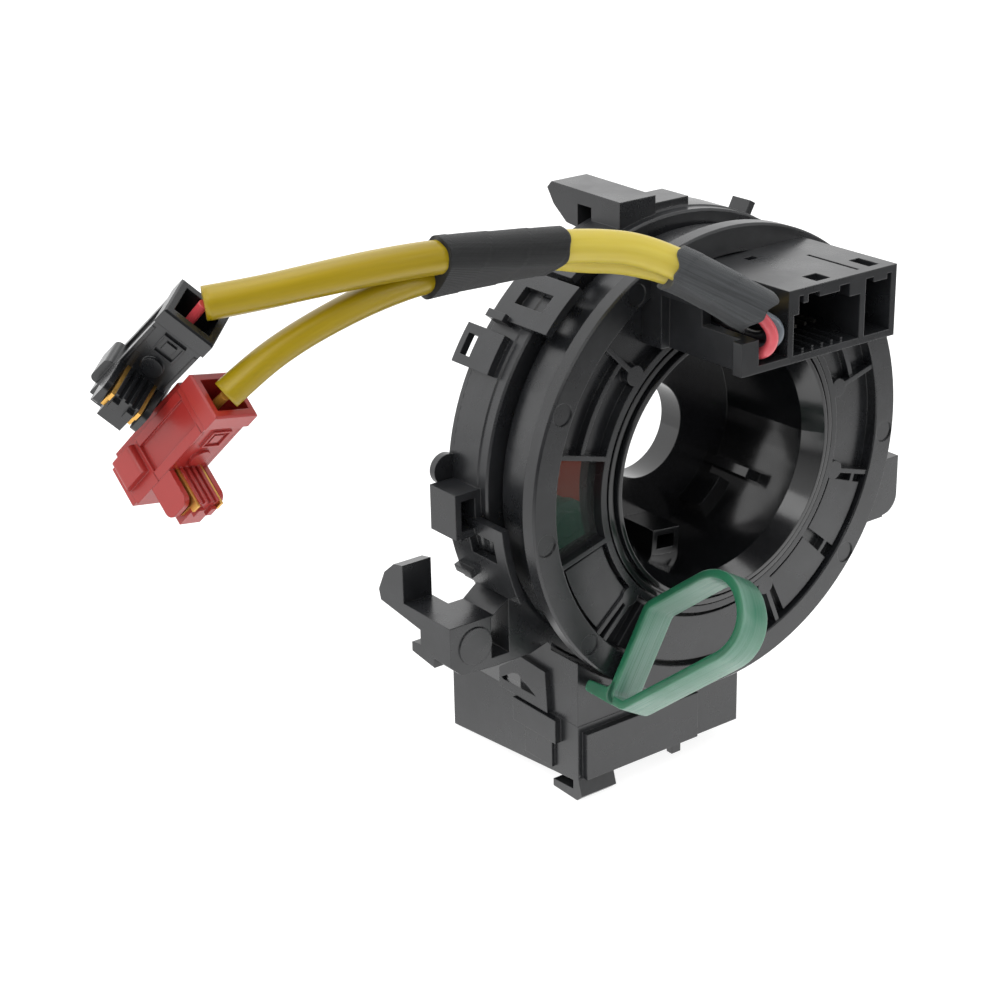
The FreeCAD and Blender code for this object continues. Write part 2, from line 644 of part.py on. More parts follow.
bay_wire_routes = {
    "bay_wire_red": [(-13.6, -38.1, 32.0), (-13.4, -46.0, 31.2), (-13.9, -53.8, 31.0),
                     (-16.2, -59.2, 33.2), (-18.6, -58.6, 36.0), (-18.8, -55.4, 37.4)],
    "bay_wire_grey": [(-10.6, -38.1, 32.4), (-10.4, -46.0, 31.8), (-10.8, -54.2, 32.2),
                      (-13.0, -59.8, 35.0), (-15.4, -60.6, 38.6), (-15.9, -57.0, 40.6)],
    "bay_wire_yellow": [(-10.4, -38.1, 36.4), (-10.2, -45.6, 35.9), (-10.5, -53.0, 36.4),
                        (-12.0, -57.6, 39.0), (-13.4, -58.4, 41.8), (-14.5, -57.2, 43.4)],
    "bay_wire_dark": [(-13.4, -38.1, 36.0), (-13.2, -45.6, 35.0), (-13.6, -52.2, 34.8),
                      (-15.8, -56.8, 36.4), (-18.2, -57.4, 38.6), (-19.0, -55.2, 39.8)],
}


def tape_wrap(first, last):
    """Oval wrap round both sleeves between two of their route points."""
    pairs = [(Vector(*sleeve_a_route[i]), Vector(*sleeve_b_route[i]))
             for i in range(first, last + 1)]
    middles = [(a + b) * 0.5 for a, b in pairs]
    path = cord_path([tuple(m) for m in middles])[0]
    along = (middles[1] - middles[0]).normalize()
    span = pairs[0][0] - pairs[0][1]
    span = span - along * span.dot(along)
    half = span.Length / 2 + sleeve_a_diameter / 2 + tape_wall
    span = span.normalize()
    side = along.cross(span)
    centre = middles[0]
    oval = Part.Ellipse(centre + span * half,
                        centre + side * (sleeve_a_diameter / 2 + tape_wall), centre)
    return path.makePipeShell([Part.Wire([oval.toShape()])], True, False)


def plug_frame(origin, along, out):
    """Placement whose x runs along the plug, z out along its barrel."""
    x = Vector(*along).normalize()
    z = Vector(*out)
    z = (z - x * z.dot(x)).normalize()
    y = z.cross(x)
    matrix = FreeCAD.Matrix(x.x, y.x, z.x, origin[0], x.y, y.y, z.y, origin[1],
                            x.z, y.z, z.z, origin[2], 0, 0, 0, 1)
    return FreeCAD.Placement(matrix)


def local_box(x0, x1, y0, y1, z0, z1):
    return Part.makeBox(x1 - x0, y1 - y0, z1 - z0, Vector(x0, y0, z0))


def plug_body():
    """Right-angle plug: long body, open wire entry and a barrel at its far end."""
    w = plug_width / 2
    t = plug_thickness / 2
    shell = local_box(0, plug_length, -w, w, -t, t)
    shell = shell.cut(local_box(-1, 5.6, -w + 1.2, w - 1.2, -t + 1.2, t - 1.2))
    nose = local_box(plug_length - 0.2, plug_length + 1.6, -w + 1.6, w - 1.6, -t, t - 1.8)
    barrel = local_box(plug_length - 9.4, plug_length - 1.6, -w + 0.9, w - 0.9, t - 0.2,
                       t + barrel_length)
    barrel = barrel.cut(local_box(plug_length - 7.4, plug_length - 3.6, -w + 2.6, w - 2.6,
                                  t + 1.0, t + barrel_length + 1))
    prongs = [local_box(plug_length - 10.6, plug_length - 9.2, -w + 2.0, w - 2.0, t - 0.2,
                        t + barrel_length - 1.4),
              local_box(plug_length - 1.8, plug_length - 0.4, -w + 2.0, w - 2.0, t - 0.2,
                        t + barrel_length - 1.4)]
    boss = local_box(6.6, 12.6, -2.6, 2.6, t - 0.1, t + 0.8)
    boss = boss.cut(local_box(7.6, 11.6, -1.6, 1.6, t + 0.1, t + 1.0))
    latches = [local_box(plug_length - 12.0, plug_length - 6.0, s * w - 0.1, s * w + 0.9, -1.6, 1.6)
               if s > 0 else
               local_box(plug_length - 12.0, plug_length - 6.0, -w - 0.9, -w + 0.1, -1.6, 1.6)
               for s in (1, -1)]
    return joined([shell, nose, barrel, boss] + prongs + latches)


def plug_cover():
    """Secondary lock that slides over the plug's back."""
    w = plug_width / 2
    t = plug_thickness / 2
    lid = local_box(3.0, plug_length - 2.0, -w + 0.6, w - 0.6, -t - 1.4, -t)
    rib = local_box(5.0, plug_length - 6.0, -1.2, 1.2, -t - 2.0, -t - 1.3)
    tab = local_box(plug_length - 3.0, plug_length + 1.2, -w + 2.4, w - 2.4, -t - 1.4, -t - 0.2)
    return joined([lid, rib, tab])


def plug_contacts():
    """Two sprung contacts inside the barrel."""
    t = plug_thickness / 2
    strips = [local_box(plug_length - 6.9, plug_length - 4.1, s - 0.35, s + 0.35, t + 1.0,
                        t + barrel_length + 0.4) for s in (-1.35, 1.35)]
    return Part.makeCompound(strips)


def placed(shape, placement):
    copy = shape.copy()
    copy.transformShape(placement.toMatrix())
    return copy


# Plug places: entry face centre, direction along the body, direction of the barrel
black_plug = ((-116.4, -30.8, 54.0), (-0.433, 0.574, -0.695), (-0.573, -0.771, -0.276))
red_plug = ((-113.3, -30.3, 39.4), (-0.323, 0.603, -0.730), (0.039, -0.762, -0.647))


def entry_wire(name, sleeve_route, plug):
    """Short core between a sleeve's end and the plug's entry."""
    end = Vector(*sleeve_route[-1])
    into = plug_frame(*plug).toMatrix().multVec(Vector(5.4, 0, 0))
    mouth = plug_frame(*plug).toMatrix().multVec(Vector(1.2, 0, 0))
    return tube(name, [tuple(end), tuple(mouth), tuple(into)], wire_diameter)


def build():
    os.makedirs("parts", exist_ok=True)
    save("rotor_disc", rotor_disc())
    save("rotor_sleeve", rotor_sleeve())
    save("window_lens", window_lens())
    save("connector_housing", connector_housing())
    save("switch_terminals", switch_terminals())
    save("stator_case", stator_case())
    save("rear_cover", rear_cover())
    save("lower_housing", lower_housing())
    save("lower_terminals", lower_terminals())
    save("ribbon_cable", ribbon_cable())
    save("roller_carrier", roller_carrier())
    for i, angle in enumerate(roller_angles()):
        save("guide_roller_" + str(i + 1), guide_roller(angle))
    save("lock_key", lock_key())
    save("lead_sleeve_a", tube("lead_sleeve_a", sleeve_a_route, sleeve_a_diameter))
    save("lead_sleeve_b", tube("lead_sleeve_b", sleeve_b_route, sleeve_b_diameter))
    save("tape_wrap_1", tape_wrap(0, 2))
    save("tape_wrap_2", tape_wrap(5, 7))
    for name, plug in (("black_plug", black_plug), ("red_plug", red_plug)):
        frame = plug_frame(*plug)
        save(name + "_body", placed(plug_body(), frame))
        save(name + "_cover", placed(plug_cover(), frame))
        save(name + "_contacts", placed(plug_contacts(), frame))
    for name, route in bay_wire_routes.items():
        save(name, tube(name, route, wire_diameter))
    save("black_plug_wire", entry_wire("black_plug_wire", sleeve_a_route, black_plug))
    save("red_plug_wire", entry_wire("red_plug_wire", sleeve_b_route, red_plug))


build()
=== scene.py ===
import math

import bmesh
import bpy
import numpy as np
from bpy.props import FloatProperty, FloatVectorProperty, IntProperty, PointerProperty
from bpy.types import Operator, Panel, PropertyGroup
from mathutils import Matrix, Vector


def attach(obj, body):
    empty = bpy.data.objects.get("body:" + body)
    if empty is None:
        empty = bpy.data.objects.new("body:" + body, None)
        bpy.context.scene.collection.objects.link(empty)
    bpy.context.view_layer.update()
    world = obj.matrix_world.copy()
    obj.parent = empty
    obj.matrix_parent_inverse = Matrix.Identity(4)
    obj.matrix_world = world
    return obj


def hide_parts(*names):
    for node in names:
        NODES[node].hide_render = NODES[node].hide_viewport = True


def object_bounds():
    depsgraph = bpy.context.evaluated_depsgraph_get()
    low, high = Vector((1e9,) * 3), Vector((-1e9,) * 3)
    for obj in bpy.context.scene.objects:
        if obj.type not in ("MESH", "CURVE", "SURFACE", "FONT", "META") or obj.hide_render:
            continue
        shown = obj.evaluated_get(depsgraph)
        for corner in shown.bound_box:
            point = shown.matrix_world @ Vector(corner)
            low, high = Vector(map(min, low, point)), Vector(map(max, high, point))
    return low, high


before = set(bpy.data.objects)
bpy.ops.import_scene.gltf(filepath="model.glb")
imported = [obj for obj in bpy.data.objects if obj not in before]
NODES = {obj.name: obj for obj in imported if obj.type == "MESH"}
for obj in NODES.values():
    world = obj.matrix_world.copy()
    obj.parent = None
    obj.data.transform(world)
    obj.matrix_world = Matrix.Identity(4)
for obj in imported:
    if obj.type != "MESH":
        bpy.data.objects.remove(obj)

bl_info = {
    "name": "Clock Spring Finish",
    "version": (1, 0, 0),
    "blender": (4, 5, 0),
    "location": "View3D > Sidebar > Clock Spring",
    "description": "Finishes, leads, tape and studio for a steering clock spring",
    "category": "Object",
}

MM = 0.001
CAD_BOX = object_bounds()

# Routes of the leads, in millimetres, from the tape's mouth at the wire bay to the plugs
SLEEVE_A_ROUTE = [(-15.6, -52.0, 41.0), (-19.1, -50.0, 43.5), (-25.0, -43.0, 48.1),
                  (-32.0, -38.5, 51.7), (-39.2, -36.4, 53.2), (-46.9, -35.2, 54.2),
                  (-59.2, -34.0, 55.3), (-71.7, -33.2, 56.6), (-84.0, -33.0, 57.0),
                  (-95.4, -32.9, 57.0), (-106.0, -31.6, 56.4), (-113.7, -28.0, 55.5)]
SLEEVE_B_ROUTE = [(-14.2, -48.8, 38.5), (-16.8, -47.4, 40.6), (-22.5, -38.3, 45.6),
                  (-30.9, -33.7, 48.6), (-38.7, -31.7, 49.8), (-46.5, -29.9, 51.7),
                  (-59.2, -29.3, 51.8), (-71.9, -29.5, 52.1), (-82.2, -30.6, 51.4),
                  (-91.6, -31.6, 49.8), (-100.4, -32.0, 47.4), (-107.4, -32.0, 44.4),
                  (-112.3, -30.6, 40.5)]
BAY_WIRE_ROUTES = {
    "red": [(-13.8, -38.1, 32.0), (-13.9, -44.6, 31.2), (-13.8, -50.0, 31.0),
            (-13.0, -52.4, 32.0), (-12.4, -53.2, 34.1), (-12.7, -53.0, 36.2),
            (-13.9, -52.0, 38.3), (-15.0, -51.2, 39.8)],
    "grey": [(-10.8, -38.1, 32.2), (-10.7, -44.8, 31.8), (-10.6, -49.4, 31.9),
             (-9.9, -51.4, 33.1), (-9.7, -51.9, 35.0), (-10.4, -51.6, 36.7),
             (-12.0, -51.1, 37.8), (-13.9, -50.5, 39.1)],
    "yellow": [(-10.0, -37.1, 36.2), (-9.7, -42.0, 36.2), (-9.6, -46.0, 37.2),
               (-10.7, -48.6, 38.4), (-12.6, -50.0, 39.7), (-14.6, -50.4, 40.9)],
    "dark": [(-13.4, -37.4, 36.1), (-13.0, -43.4, 34.5), (-12.2, -48.0, 33.6),
             (-11.5, -50.4, 34.2), (-11.4, -51.0, 35.6), (-12.1, -50.7, 37.0),
             (-13.6, -49.9, 38.3)],
}
PLUG_WIRE_ROUTES = {
    "black": [(-113.7, -28.0, 55.5), (-115.0, -25.8, 52.6), (-116.2, -23.0, 49.7)],
    "red": [(-112.3, -30.6, 40.5), (-112.5, -27.9, 38.5), (-113.8, -25.3, 35.5)],
}
# Ways that the tubes' rings are turned by
SLEEVE_GUIDE = (0.0, 0.6, -0.8)
WIRE_GUIDE = (0.8, 0.0, 0.6)
# The key's own frame: front face of the rotor, way out along its radius, way across its band,
# and where the band starts along that way
FACE_Y = -28.00
KEY_OUT = (-0.5, 0.0, -0.866)
KEY_ACROSS = (-0.866, 0.0, 0.5)
KEY_START = -0.5
# Left face of the connector block, and how deep the snap tongue is rooted in it and stands out
BLOCK_LEFT_X = -32.5
TONGUE_ROOT = 0.3
TONGUE_PROUD = 1.1
# Plug places: entry face centre in mm, way along the body, way out along the barrel
PLUG_PLACES = {
    "black": ((-114.7, -26.6, 53.4), (-0.281, 0.671, -0.686), (-0.741, -0.606, -0.289)),
    "red": ((-112.1, -28.6, 39.4), (-0.323, 0.603, -0.730), (0.039, -0.762, -0.647)),
}
# Pitch of the ribbon's tracks, of the tape's weave and of its laps, and the step at a lap
TRACK_PITCH = 1.8 * MM
WEAVE_PITCH = 0.24 * MM
LAP_PITCH = 8.0 * MM
LAP_STEP = 0.1 * MM
# Glow that stands for the light that the window lets in on the ribbon and the rollers
RIBBON_GLOW = 0.35
ROLLER_GLOW = 0.3
# Camera fitted to the photo: rows of its matrix in metres, and its lens on a 36 mm sensor
CAMERA_ROWS = ((0.7975, 0.2404, -0.5534, -0.2775), (-0.6030, 0.2869, -0.7443, -0.3249),
               (-0.0201, 0.9273, 0.3738, 0.1570), (0, 0, 0, 1))
LENS_MM = 79.81
SENSOR_MM = 36.0
# Lamps: name, place, width and height in metres, power in watts, whether gloss mirrors them
LAMPS = (("key_softbox", (-0.75, -0.45, 0.75), 0.7, 0.5, 2.5, True),
         ("top_softbox", (0.1, 0.1, 1.1), 0.9, 0.9, 3.5, True),
         ("right_strip", (0.75, -0.75, 0.25), 0.25, 0.9, 2.5, True),
         ("front_fill", (-0.15, -1.0, 0.35), 0.8, 0.8, 1.8, False))
# Half of the floor's side in metres, and the way towards the bright side of the room
FLOOR_HALF = 1.6
BRIGHT_WAY = (-0.25, 0.62, 0.74)


def linear(code):
    """sRGB hex colour as four linear values."""
    parts = [int(code[i:i + 2], 16) / 255 for i in (1, 3, 5)]
    return tuple(c / 12.92 if c <= 0.04045 else ((c + 0.055) / 1.055) ** 2.4
                 for c in parts) + (1.0,)


def colour_prop(name, description, code):
    """Colour field, its default a hex code."""
    return FloatVectorProperty(name=name, description=description, subtype="COLOR", size=4,
                               min=0.0, max=1.0, default=linear(code))


def size_prop(name, description, millimetres):
    """Length field, its default in millimetres."""
    return FloatProperty(name=name, description=description, unit="LENGTH",
                         default=millimetres * MM)


class ClockSpringColours(PropertyGroup):
    """Colours of the finishes."""

    case: colour_prop("Case", "Moulded black of the drum, block and connector", "#1C1D1F")
    rotor: colour_prop("Rotor", "Moulded black of the turning disc and hub", "#17181A")
    key: colour_prop("Key", "Translucent green of the lock key", "#287353")
    sleeve: colour_prop("Sleeve", "Yellow of the vinyl sleeves", "#917C0A")
    tape: colour_prop("Tape", "Black of the cloth tape", "#131415")
    red_plug: colour_prop("Red plug", "Red of the second airbag plug", "#972622")
    black_plug: colour_prop("Black plug", "Black of the first airbag plug", "#141517")
    roller: colour_prop("Roller", "Dark green of the guide rollers", "#23604B")


class ClockSpringSizes(PropertyGroup):
    """Sizes of the leads, the key and the tape, the radius of the moulded edges and the points
    round a sleeve.
    """

    sleeve_a: size_prop("Sleeve A", "Outer diameter of the upper sleeve", 6.0)
    sleeve_b: size_prop("Sleeve B", "Outer diameter of the lower sleeve", 5.4)
    core: size_prop("Bay core", "Diameter of one core at the wire bay", 2.2)
    plug_core: size_prop("Plug core", "Diameter of the core at a plug", 1.7)
    key_wall: size_prop("Key wall", "Thickness of the key's band", 1.8)
    key_width: size_prop("Key width", "Width of the key's band", 7.6)
    tape_wall: size_prop("Tape", "Thickness of the wound tape", 0.6)
    edge: size_prop("Edge", "Radius of the moulded edges", 0.28)
    rings: IntProperty(name="Rings", description="Points round a sleeve", default=48, min=12)


def add_node(tree, kind, place=(0, 0), links=(), **settings):
    """Adds one node: settings set its properties or, by socket name, its inputs; links join it."""
    made = tree.nodes.new(kind)
    made.location = place
    for key, value in settings.items():
        name = key.replace("_", " ")
        socket = next((s for s in made.inputs if s.name.lower() == name.lower()), None)
        if hasattr(made, key):
            setattr(made, key, value)
        elif socket is not None:
            socket.default_value = value
        else:
            raise KeyError(kind + " has no setting " + key)
    for source, target in links:
        tree.links.new(source, made.inputs[target])
    return made


def new_material(name, **settings):
    """A material with its Principled shader, set as add_node sets a node."""
    made = bpy.data.materials.new(name)
    made.use_nodes = True
    tree = made.node_tree
    tree.nodes.clear()
    shader = add_node(tree, "ShaderNodeBsdfPrincipled", (0, 0), **settings)
    out = add_node(tree, "ShaderNodeOutputMaterial", (300, 0),
                   [(shader.outputs[0], "Surface")])
    return made, tree, shader, out


def noise(tree, source, place, scale, detail=2.0, rough=0.5):
    """Value noise read at a vector output."""
    return add_node(tree, "ShaderNodeTexNoise", place, [(source, "Vector")],
                    Scale=scale, Detail=detail, Roughness=rough).outputs[0]


def feed(tree, socket, value):
    """Links an output to a socket, or sets the socket to a value."""
    if isinstance(value, bpy.types.NodeSocket):
        tree.links.new(value, socket)
    else:
        socket.default_value = value


def calc(tree, operation, place, *values):
    """Math node over outputs and numbers."""
    made = add_node(tree, "ShaderNodeMath", place, operation=operation)
    for socket, value in zip(made.inputs, values):
        feed(tree, socket, value)
    return made.outputs[0]


def dot(tree, vector, place, way):
    """Dot product of a vector output and a fixed way."""
    made = add_node(tree, "ShaderNodeVectorMath", place, [(vector, 0)], operation="DOT_PRODUCT")
    made.inputs[1].default_value = way
    return made.outputs["Value"]


def spread(tree, value, place, low, high, start=0.3, stop=0.7, **settings):
    """Maps start..stop of a value to low..high, held at both ends."""
    return add_node(tree, "ShaderNodeMapRange", place, [(value, "Value")], From_Min=start,
                    From_Max=stop, To_Min=low, To_Max=high, **settings).outputs[0]


def two_tone(tree, factor, place, first, second):
    """Mix of two colours, each a value or an output, by a factor."""
    made = add_node(tree, "ShaderNodeMix", place, [(factor, 0)], data_type="RGBA")
    feed(tree, made.inputs[6], first)
    feed(tree, made.inputs[7], second)
    return made.outputs[2]


def shaded(colour, level):
    """A colour with its linear values times a level."""
    return tuple(min(1.0, c * level) for c in colour[:3]) + (1.0,)


def moulded(name, colour, roughness, grain, depth, edge, coat=0.0, haze=0.0):
    """Injection-moulded plastic: spark-eroded grain, flow marks in the gloss, rounded edges.

    The height is noise(p / grain) * depth; the roughness is roughness - 0.05 to + 0.07 over
    noise(90 p); haze lifts the colour in cloudy patches as rubbed plastic does."""
    made, tree, shader, _ = new_material(name, IOR=1.52, Coat_Weight=coat, Coat_Roughness=0.1)
    where = add_node(tree, "ShaderNodeTexCoord", (-1400, 0)).outputs["Object"]
    flow = noise(tree, where, (-1100, 200), 90.0, 4.0, 0.6)
    tree.links.new(spread(tree, flow, (-800, 200), roughness - 0.05, roughness + 0.07),
                   shader.inputs["Roughness"])
    cloud = noise(tree, where, (-1100, 500), 140.0, 5.0, 0.7)
    tree.links.new(two_tone(tree, spread(tree, cloud, (-800, 500), 0.0, 1.0, 0.45, 0.75),
                            (-500, 400), colour, shaded(colour, 1.0 + haze)),
                   shader.inputs["Base Color"])
    rounded = add_node(tree, "ShaderNodeBevel", (-600, -400), samples=4, Radius=edge)
    bump = add_node(tree, "ShaderNodeBump", (-300, -200),
                    [(noise(tree, where, (-1100, -200), 1.0 / grain), "Height"),
                     (rounded.outputs[0], "Normal")], Strength=0.5, Distance=depth)
    tree.links.new(bump.outputs[0], shader.inputs["Normal"])
    return made


def smoke_lens():
    """Smoked polycarbonate: a thin dusty pane that lets the ribbon and a roller show."""
    made, tree, shader, out = new_material("smoked_polycarbonate", Base_Color=linear("#5A5D5C"),
                                           Roughness=0.12)
    clear = add_node(tree, "ShaderNodeBsdfTransparent", (0, 300), Color=linear("#D2D6D4"))
    mixed = add_node(tree, "ShaderNodeMixShader", (200, 200),
                     [(clear.outputs[0], 1), (shader.outputs[0], 2)], Fac=0.16)
    tree.links.new(mixed.outputs[0], out.inputs["Surface"])
    return made


def tinned_brass(name, colour, roughness):
    """Plated contact metal with fine draw marks along its length."""
    made, tree, shader, _ = new_material(name, Base_Color=colour, Metallic=1.0)
    where = add_node(tree, "ShaderNodeTexCoord", (-900, 0)).outputs["Object"]
    marks = noise(tree, where, (-600, 0), 900.0, 1.0)
    tree.links.new(spread(tree, marks, (-300, 0), roughness - 0.02, roughness + 0.06, 0.0, 1.0),
                   shader.inputs["Roughness"])
    return made


def polyester_ribbon():
    """Flat cable film: amber polyester with copper tracks under it, lit from inside the drum.

    The ramp runs with the distance of y from the nearest multiple of the tracks' pitch; a weak
    glow stands for the light that reaches the film through the window."""
    made, tree, shader, _ = new_material("laminated_polyester_ribbon", Roughness=0.3,
                                         Emission_Strength=RIBBON_GLOW)
    where = add_node(tree, "ShaderNodeTexCoord", (-900, 0))
    part = add_node(tree, "ShaderNodeSeparateXYZ", (-700, 0), [(where.outputs["Object"], 0)])
    track = calc(tree, "PINGPONG", (-500, 0), part.outputs["Y"], TRACK_PITCH / 2)
    shade = add_node(tree, "ShaderNodeValToRGB", (-300, 0), [(track, "Fac")])
    for i, (place, code) in enumerate(((0.28 * MM, "#B5432A"), (0.4 * MM, "#C9622F"))):
        shade.color_ramp.elements[i].position = place
        shade.color_ramp.elements[i].color = linear(code)
    for name in ("Base Color", "Emission Color"):
        tree.links.new(shade.outputs[0], shader.inputs[name])
    return made


def key_polypropylene(colour):
    """Translucent green polypropylene: deep green on the cut edges, milky on the broad bands.

    With a = |n . across|, the edges show where a is near 1 and the bands where it is near 0;
    the bands carry draw lines, noise of (7000 p.across, 55 p), in paler rubbed patches."""
    made, tree, shader, _ = new_material(
        "translucent_green_polypropylene", Subsurface_Weight=0.35,
        Subsurface_Radius=(0.5, 1.6, 1.0), Subsurface_Scale=1.4 * MM, IOR=1.49)
    where = add_node(tree, "ShaderNodeTexCoord", (-1600, 0))
    place = where.outputs["Object"]
    size = calc(tree, "ABSOLUTE", (-1150, 300),
                dot(tree, where.outputs["Normal"], (-1350, 300), KEY_ACROSS))
    band = spread(tree, size, (-950, 300), 1.0, 0.0, 0.35, 0.85)
    slow = add_node(tree, "ShaderNodeVectorMath", (-1350, -200), [(place, 0)],
                    operation="SCALE", Scale=55.0)
    fast = calc(tree, "MULTIPLY", (-1150, 0), dot(tree, place, (-1350, 0), KEY_ACROSS), 7000.0)
    both = add_node(tree, "ShaderNodeVectorMath", (-950, -100),
                    [(slow.outputs[0], 0), (fast, 1)], operation="ADD")
    lines = noise(tree, both.outputs[0], (-750, -100), 1.0, 2.0, 0.6)
    rubbed = spread(tree, noise(tree, place, (-750, 100), 60.0), (-550, 100), 0.15, 0.8, 0.4, 0.6)
    scratch = calc(tree, "MULTIPLY", (-450, 0),
                   spread(tree, lines, (-550, -100), 0.0, 1.0, 0.3, 0.75), rubbed)
    pale = two_tone(tree, scratch, (-350, 0), linear("#306D54"), linear("#90A89F"))
    cloud = spread(tree, noise(tree, place, (-750, 500), 70.0), (-550, 500), 0.0, 1.0)
    edges = two_tone(tree, cloud, (-350, 400), shaded(colour, 0.45), shaded(colour, 0.8))
    tree.links.new(two_tone(tree, band, (-150, 200), edges, pale), shader.inputs["Base Color"])
    tree.links.new(spread(tree, lines, (-350, -300), 0.24, 0.42), shader.inputs["Roughness"])
    rounded = add_node(tree, "ShaderNodeBevel", (-400, -500), samples=4, Radius=0.45 * MM)
    tree.links.new(rounded.outputs[0], shader.inputs["Normal"])
    return made


def sleeve_vinyl(colour):
    """Soft vinyl sleeving: waxy yellow with draw lines along it and faint handling marks.

    It is painted paler up to 40 mm from the mouth, fading out at 66 mm: painted light for that end
    of the sleeve, which is lit from above and has less shade."""
    made, tree, shader, _ = new_material(
        "extruded_yellow_vinyl", Subsurface_Weight=0.22, Subsurface_Radius=(1.4, 1.0, 0.2),
        Subsurface_Scale=1.0 * MM, Specular_IOR_Level=0.3, Coat_Weight=0.1, Coat_Roughness=0.25)
    along = add_node(tree, "ShaderNodeUVMap", (-1400, 0), uv_map="along").outputs[0]
    stretch = add_node(tree, "ShaderNodeMapping", (-1200, 0), [(along, "Vector")],
                       Scale=(14.0, 380.0, 1.0))
    lines = noise(tree, stretch.outputs[0], (-950, 0), 1.0, 3.0)
    grain = spread(tree, lines, (-700, 0), 0.0, 1.0)
    streaks = two_tone(tree, grain, (-450, 0), shaded(colour, 0.78), shaded(colour, 1.15))
    # Painted light: a paler yellow for the sleeve's end near the mouth, where it is lit from above
    paler = two_tone(tree, grain, (-450, 500), linear("#AD9A2C"), linear("#BDAD50"))
    run = add_node(tree, "ShaderNodeSeparateXYZ", (-1200, 500), [(along, 0)])
    painted_light_mask = spread(tree, run.outputs["X"], (-950, 500), 1.0, 0.0, 40.0 * MM, 66.0 * MM)
    tone = two_tone(tree, painted_light_mask, (-330, 200), streaks, paler)
    marks = spread(tree, noise(tree, along, (-950, 300), 260.0, 6.0, 0.75), (-700, 300),
                   0.0, 0.6, 0.68, 0.8)
    tree.links.new(two_tone(tree, marks, (-200, 100), tone, shaded(colour, 0.4)),
                   shader.inputs["Base Color"])
    tree.links.new(spread(tree, lines, (-450, -200), 0.28, 0.4), shader.inputs["Roughness"])
    bump = add_node(tree, "ShaderNodeBump", (-400, -400), [(lines, "Height")],
                    Strength=0.4, Distance=0.1 * MM)
    tree.links.new(bump.outputs[0], shader.inputs["Normal"])
    return made


def cloth_tape(name, colour):
    """Woven polyester harness tape: a plain weave of 0.24 mm under longer yarn streaks.

    The height is (sin(2 pi s / 0.24 mm) + sin(2 pi v / 0.24 mm)) * noise(60 s, 1500 v)."""
    made, tree, shader, _ = new_material(name, Roughness=0.6, Sheen_Weight=0.1,
                                         Specular_IOR_Level=0.3)
    along = add_node(tree, "ShaderNodeUVMap", (-1400, 0), uv_map="along").outputs[0]
    part = add_node(tree, "ShaderNodeSeparateXYZ", (-1200, 0), [(along, 0)])
    waves = [calc(tree, "SINE", (-800, -200 * i),
                  calc(tree, "MULTIPLY", (-1000, -200 * i), part.outputs[axis],
                       2 * math.pi / WEAVE_PITCH)) for i, axis in enumerate(("X", "Y"))]
    weave = calc(tree, "ADD", (-600, 0), *waves)
    stretch = add_node(tree, "ShaderNodeMapping", (-1000, -500), [(along, "Vector")],
                       Scale=(60.0, 1500.0, 1.0))
    yarn = noise(tree, stretch.outputs[0], (-800, -500), 1.0, 4.0, 0.6)
    height = calc(tree, "MULTIPLY", (-400, -100), weave, yarn)
    tree.links.new(two_tone(tree, spread(tree, yarn, (-400, 200), 0.0, 1.0), (-150, 200),
                            shaded(colour, 0.6), shaded(colour, 1.5)),
                   shader.inputs["Base Color"])
    bump = add_node(tree, "ShaderNodeBump", (-150, -300), [(height, "Height")],
                    Strength=0.6, Distance=0.05 * MM)
    tree.links.new(bump.outputs[0], shader.inputs["Normal"])
    return made


def core_insulation(name, code):
    """Cross-linked core insulation: smooth and slightly waxy."""
    made, tree, shader, _ = new_material(name, Roughness=0.35)
    base = linear(code)
    where = add_node(tree, "ShaderNodeTexCoord", (-900, 0)).outputs["Object"]
    cloud = spread(tree, noise(tree, where, (-650, 0), 400.0), (-450, 0), 0.0, 1.0)
    tree.links.new(two_tone(tree, cloud, (-250, 0), shaded(base, 0.85), base),
                   shader.inputs["Base Color"])
    return made


def line_points(route, steps):
    """Points of the smooth line through a route's control points, as metres in an n x 3 array."""
    curve = bpy.data.curves.new("route_line", "CURVE")
    curve.dimensions = "3D"
    spline = curve.splines.new("NURBS")
    spline.points.add(len(route) - 1)
    for point, place in zip(spline.points, route):
        point.co = (place[0] * MM, place[1] * MM, place[2] * MM, 1.0)
    spline.order_u = 3
    spline.use_endpoint_u = True
    spline.resolution_u = steps
    holder = bpy.data.objects.new("route_line", curve)
    bpy.context.scene.collection.objects.link(holder)
    mesh = bpy.data.meshes.new_from_object(holder)
    points = np.zeros(len(mesh.vertices) * 3)
    mesh.vertices.foreach_get("co", points)
    bpy.data.meshes.remove(mesh)
    bpy.data.objects.remove(holder)
    bpy.data.curves.remove(curve)
    return points.reshape(-1, 3)


def unit(v):
    """Vectors scaled to length 1."""
    return v / np.linalg.norm(v, axis=-1, keepdims=True)


def frames_along(points, guide):
    """Tangent, up and side at each point: side is tangent x guide, up is side x tangent."""
    tangent = unit(np.gradient(points, axis=0))
    side = unit(np.cross(tangent, np.asarray(guide, float)))
    return tangent, unit(np.cross(side, tangent)), side


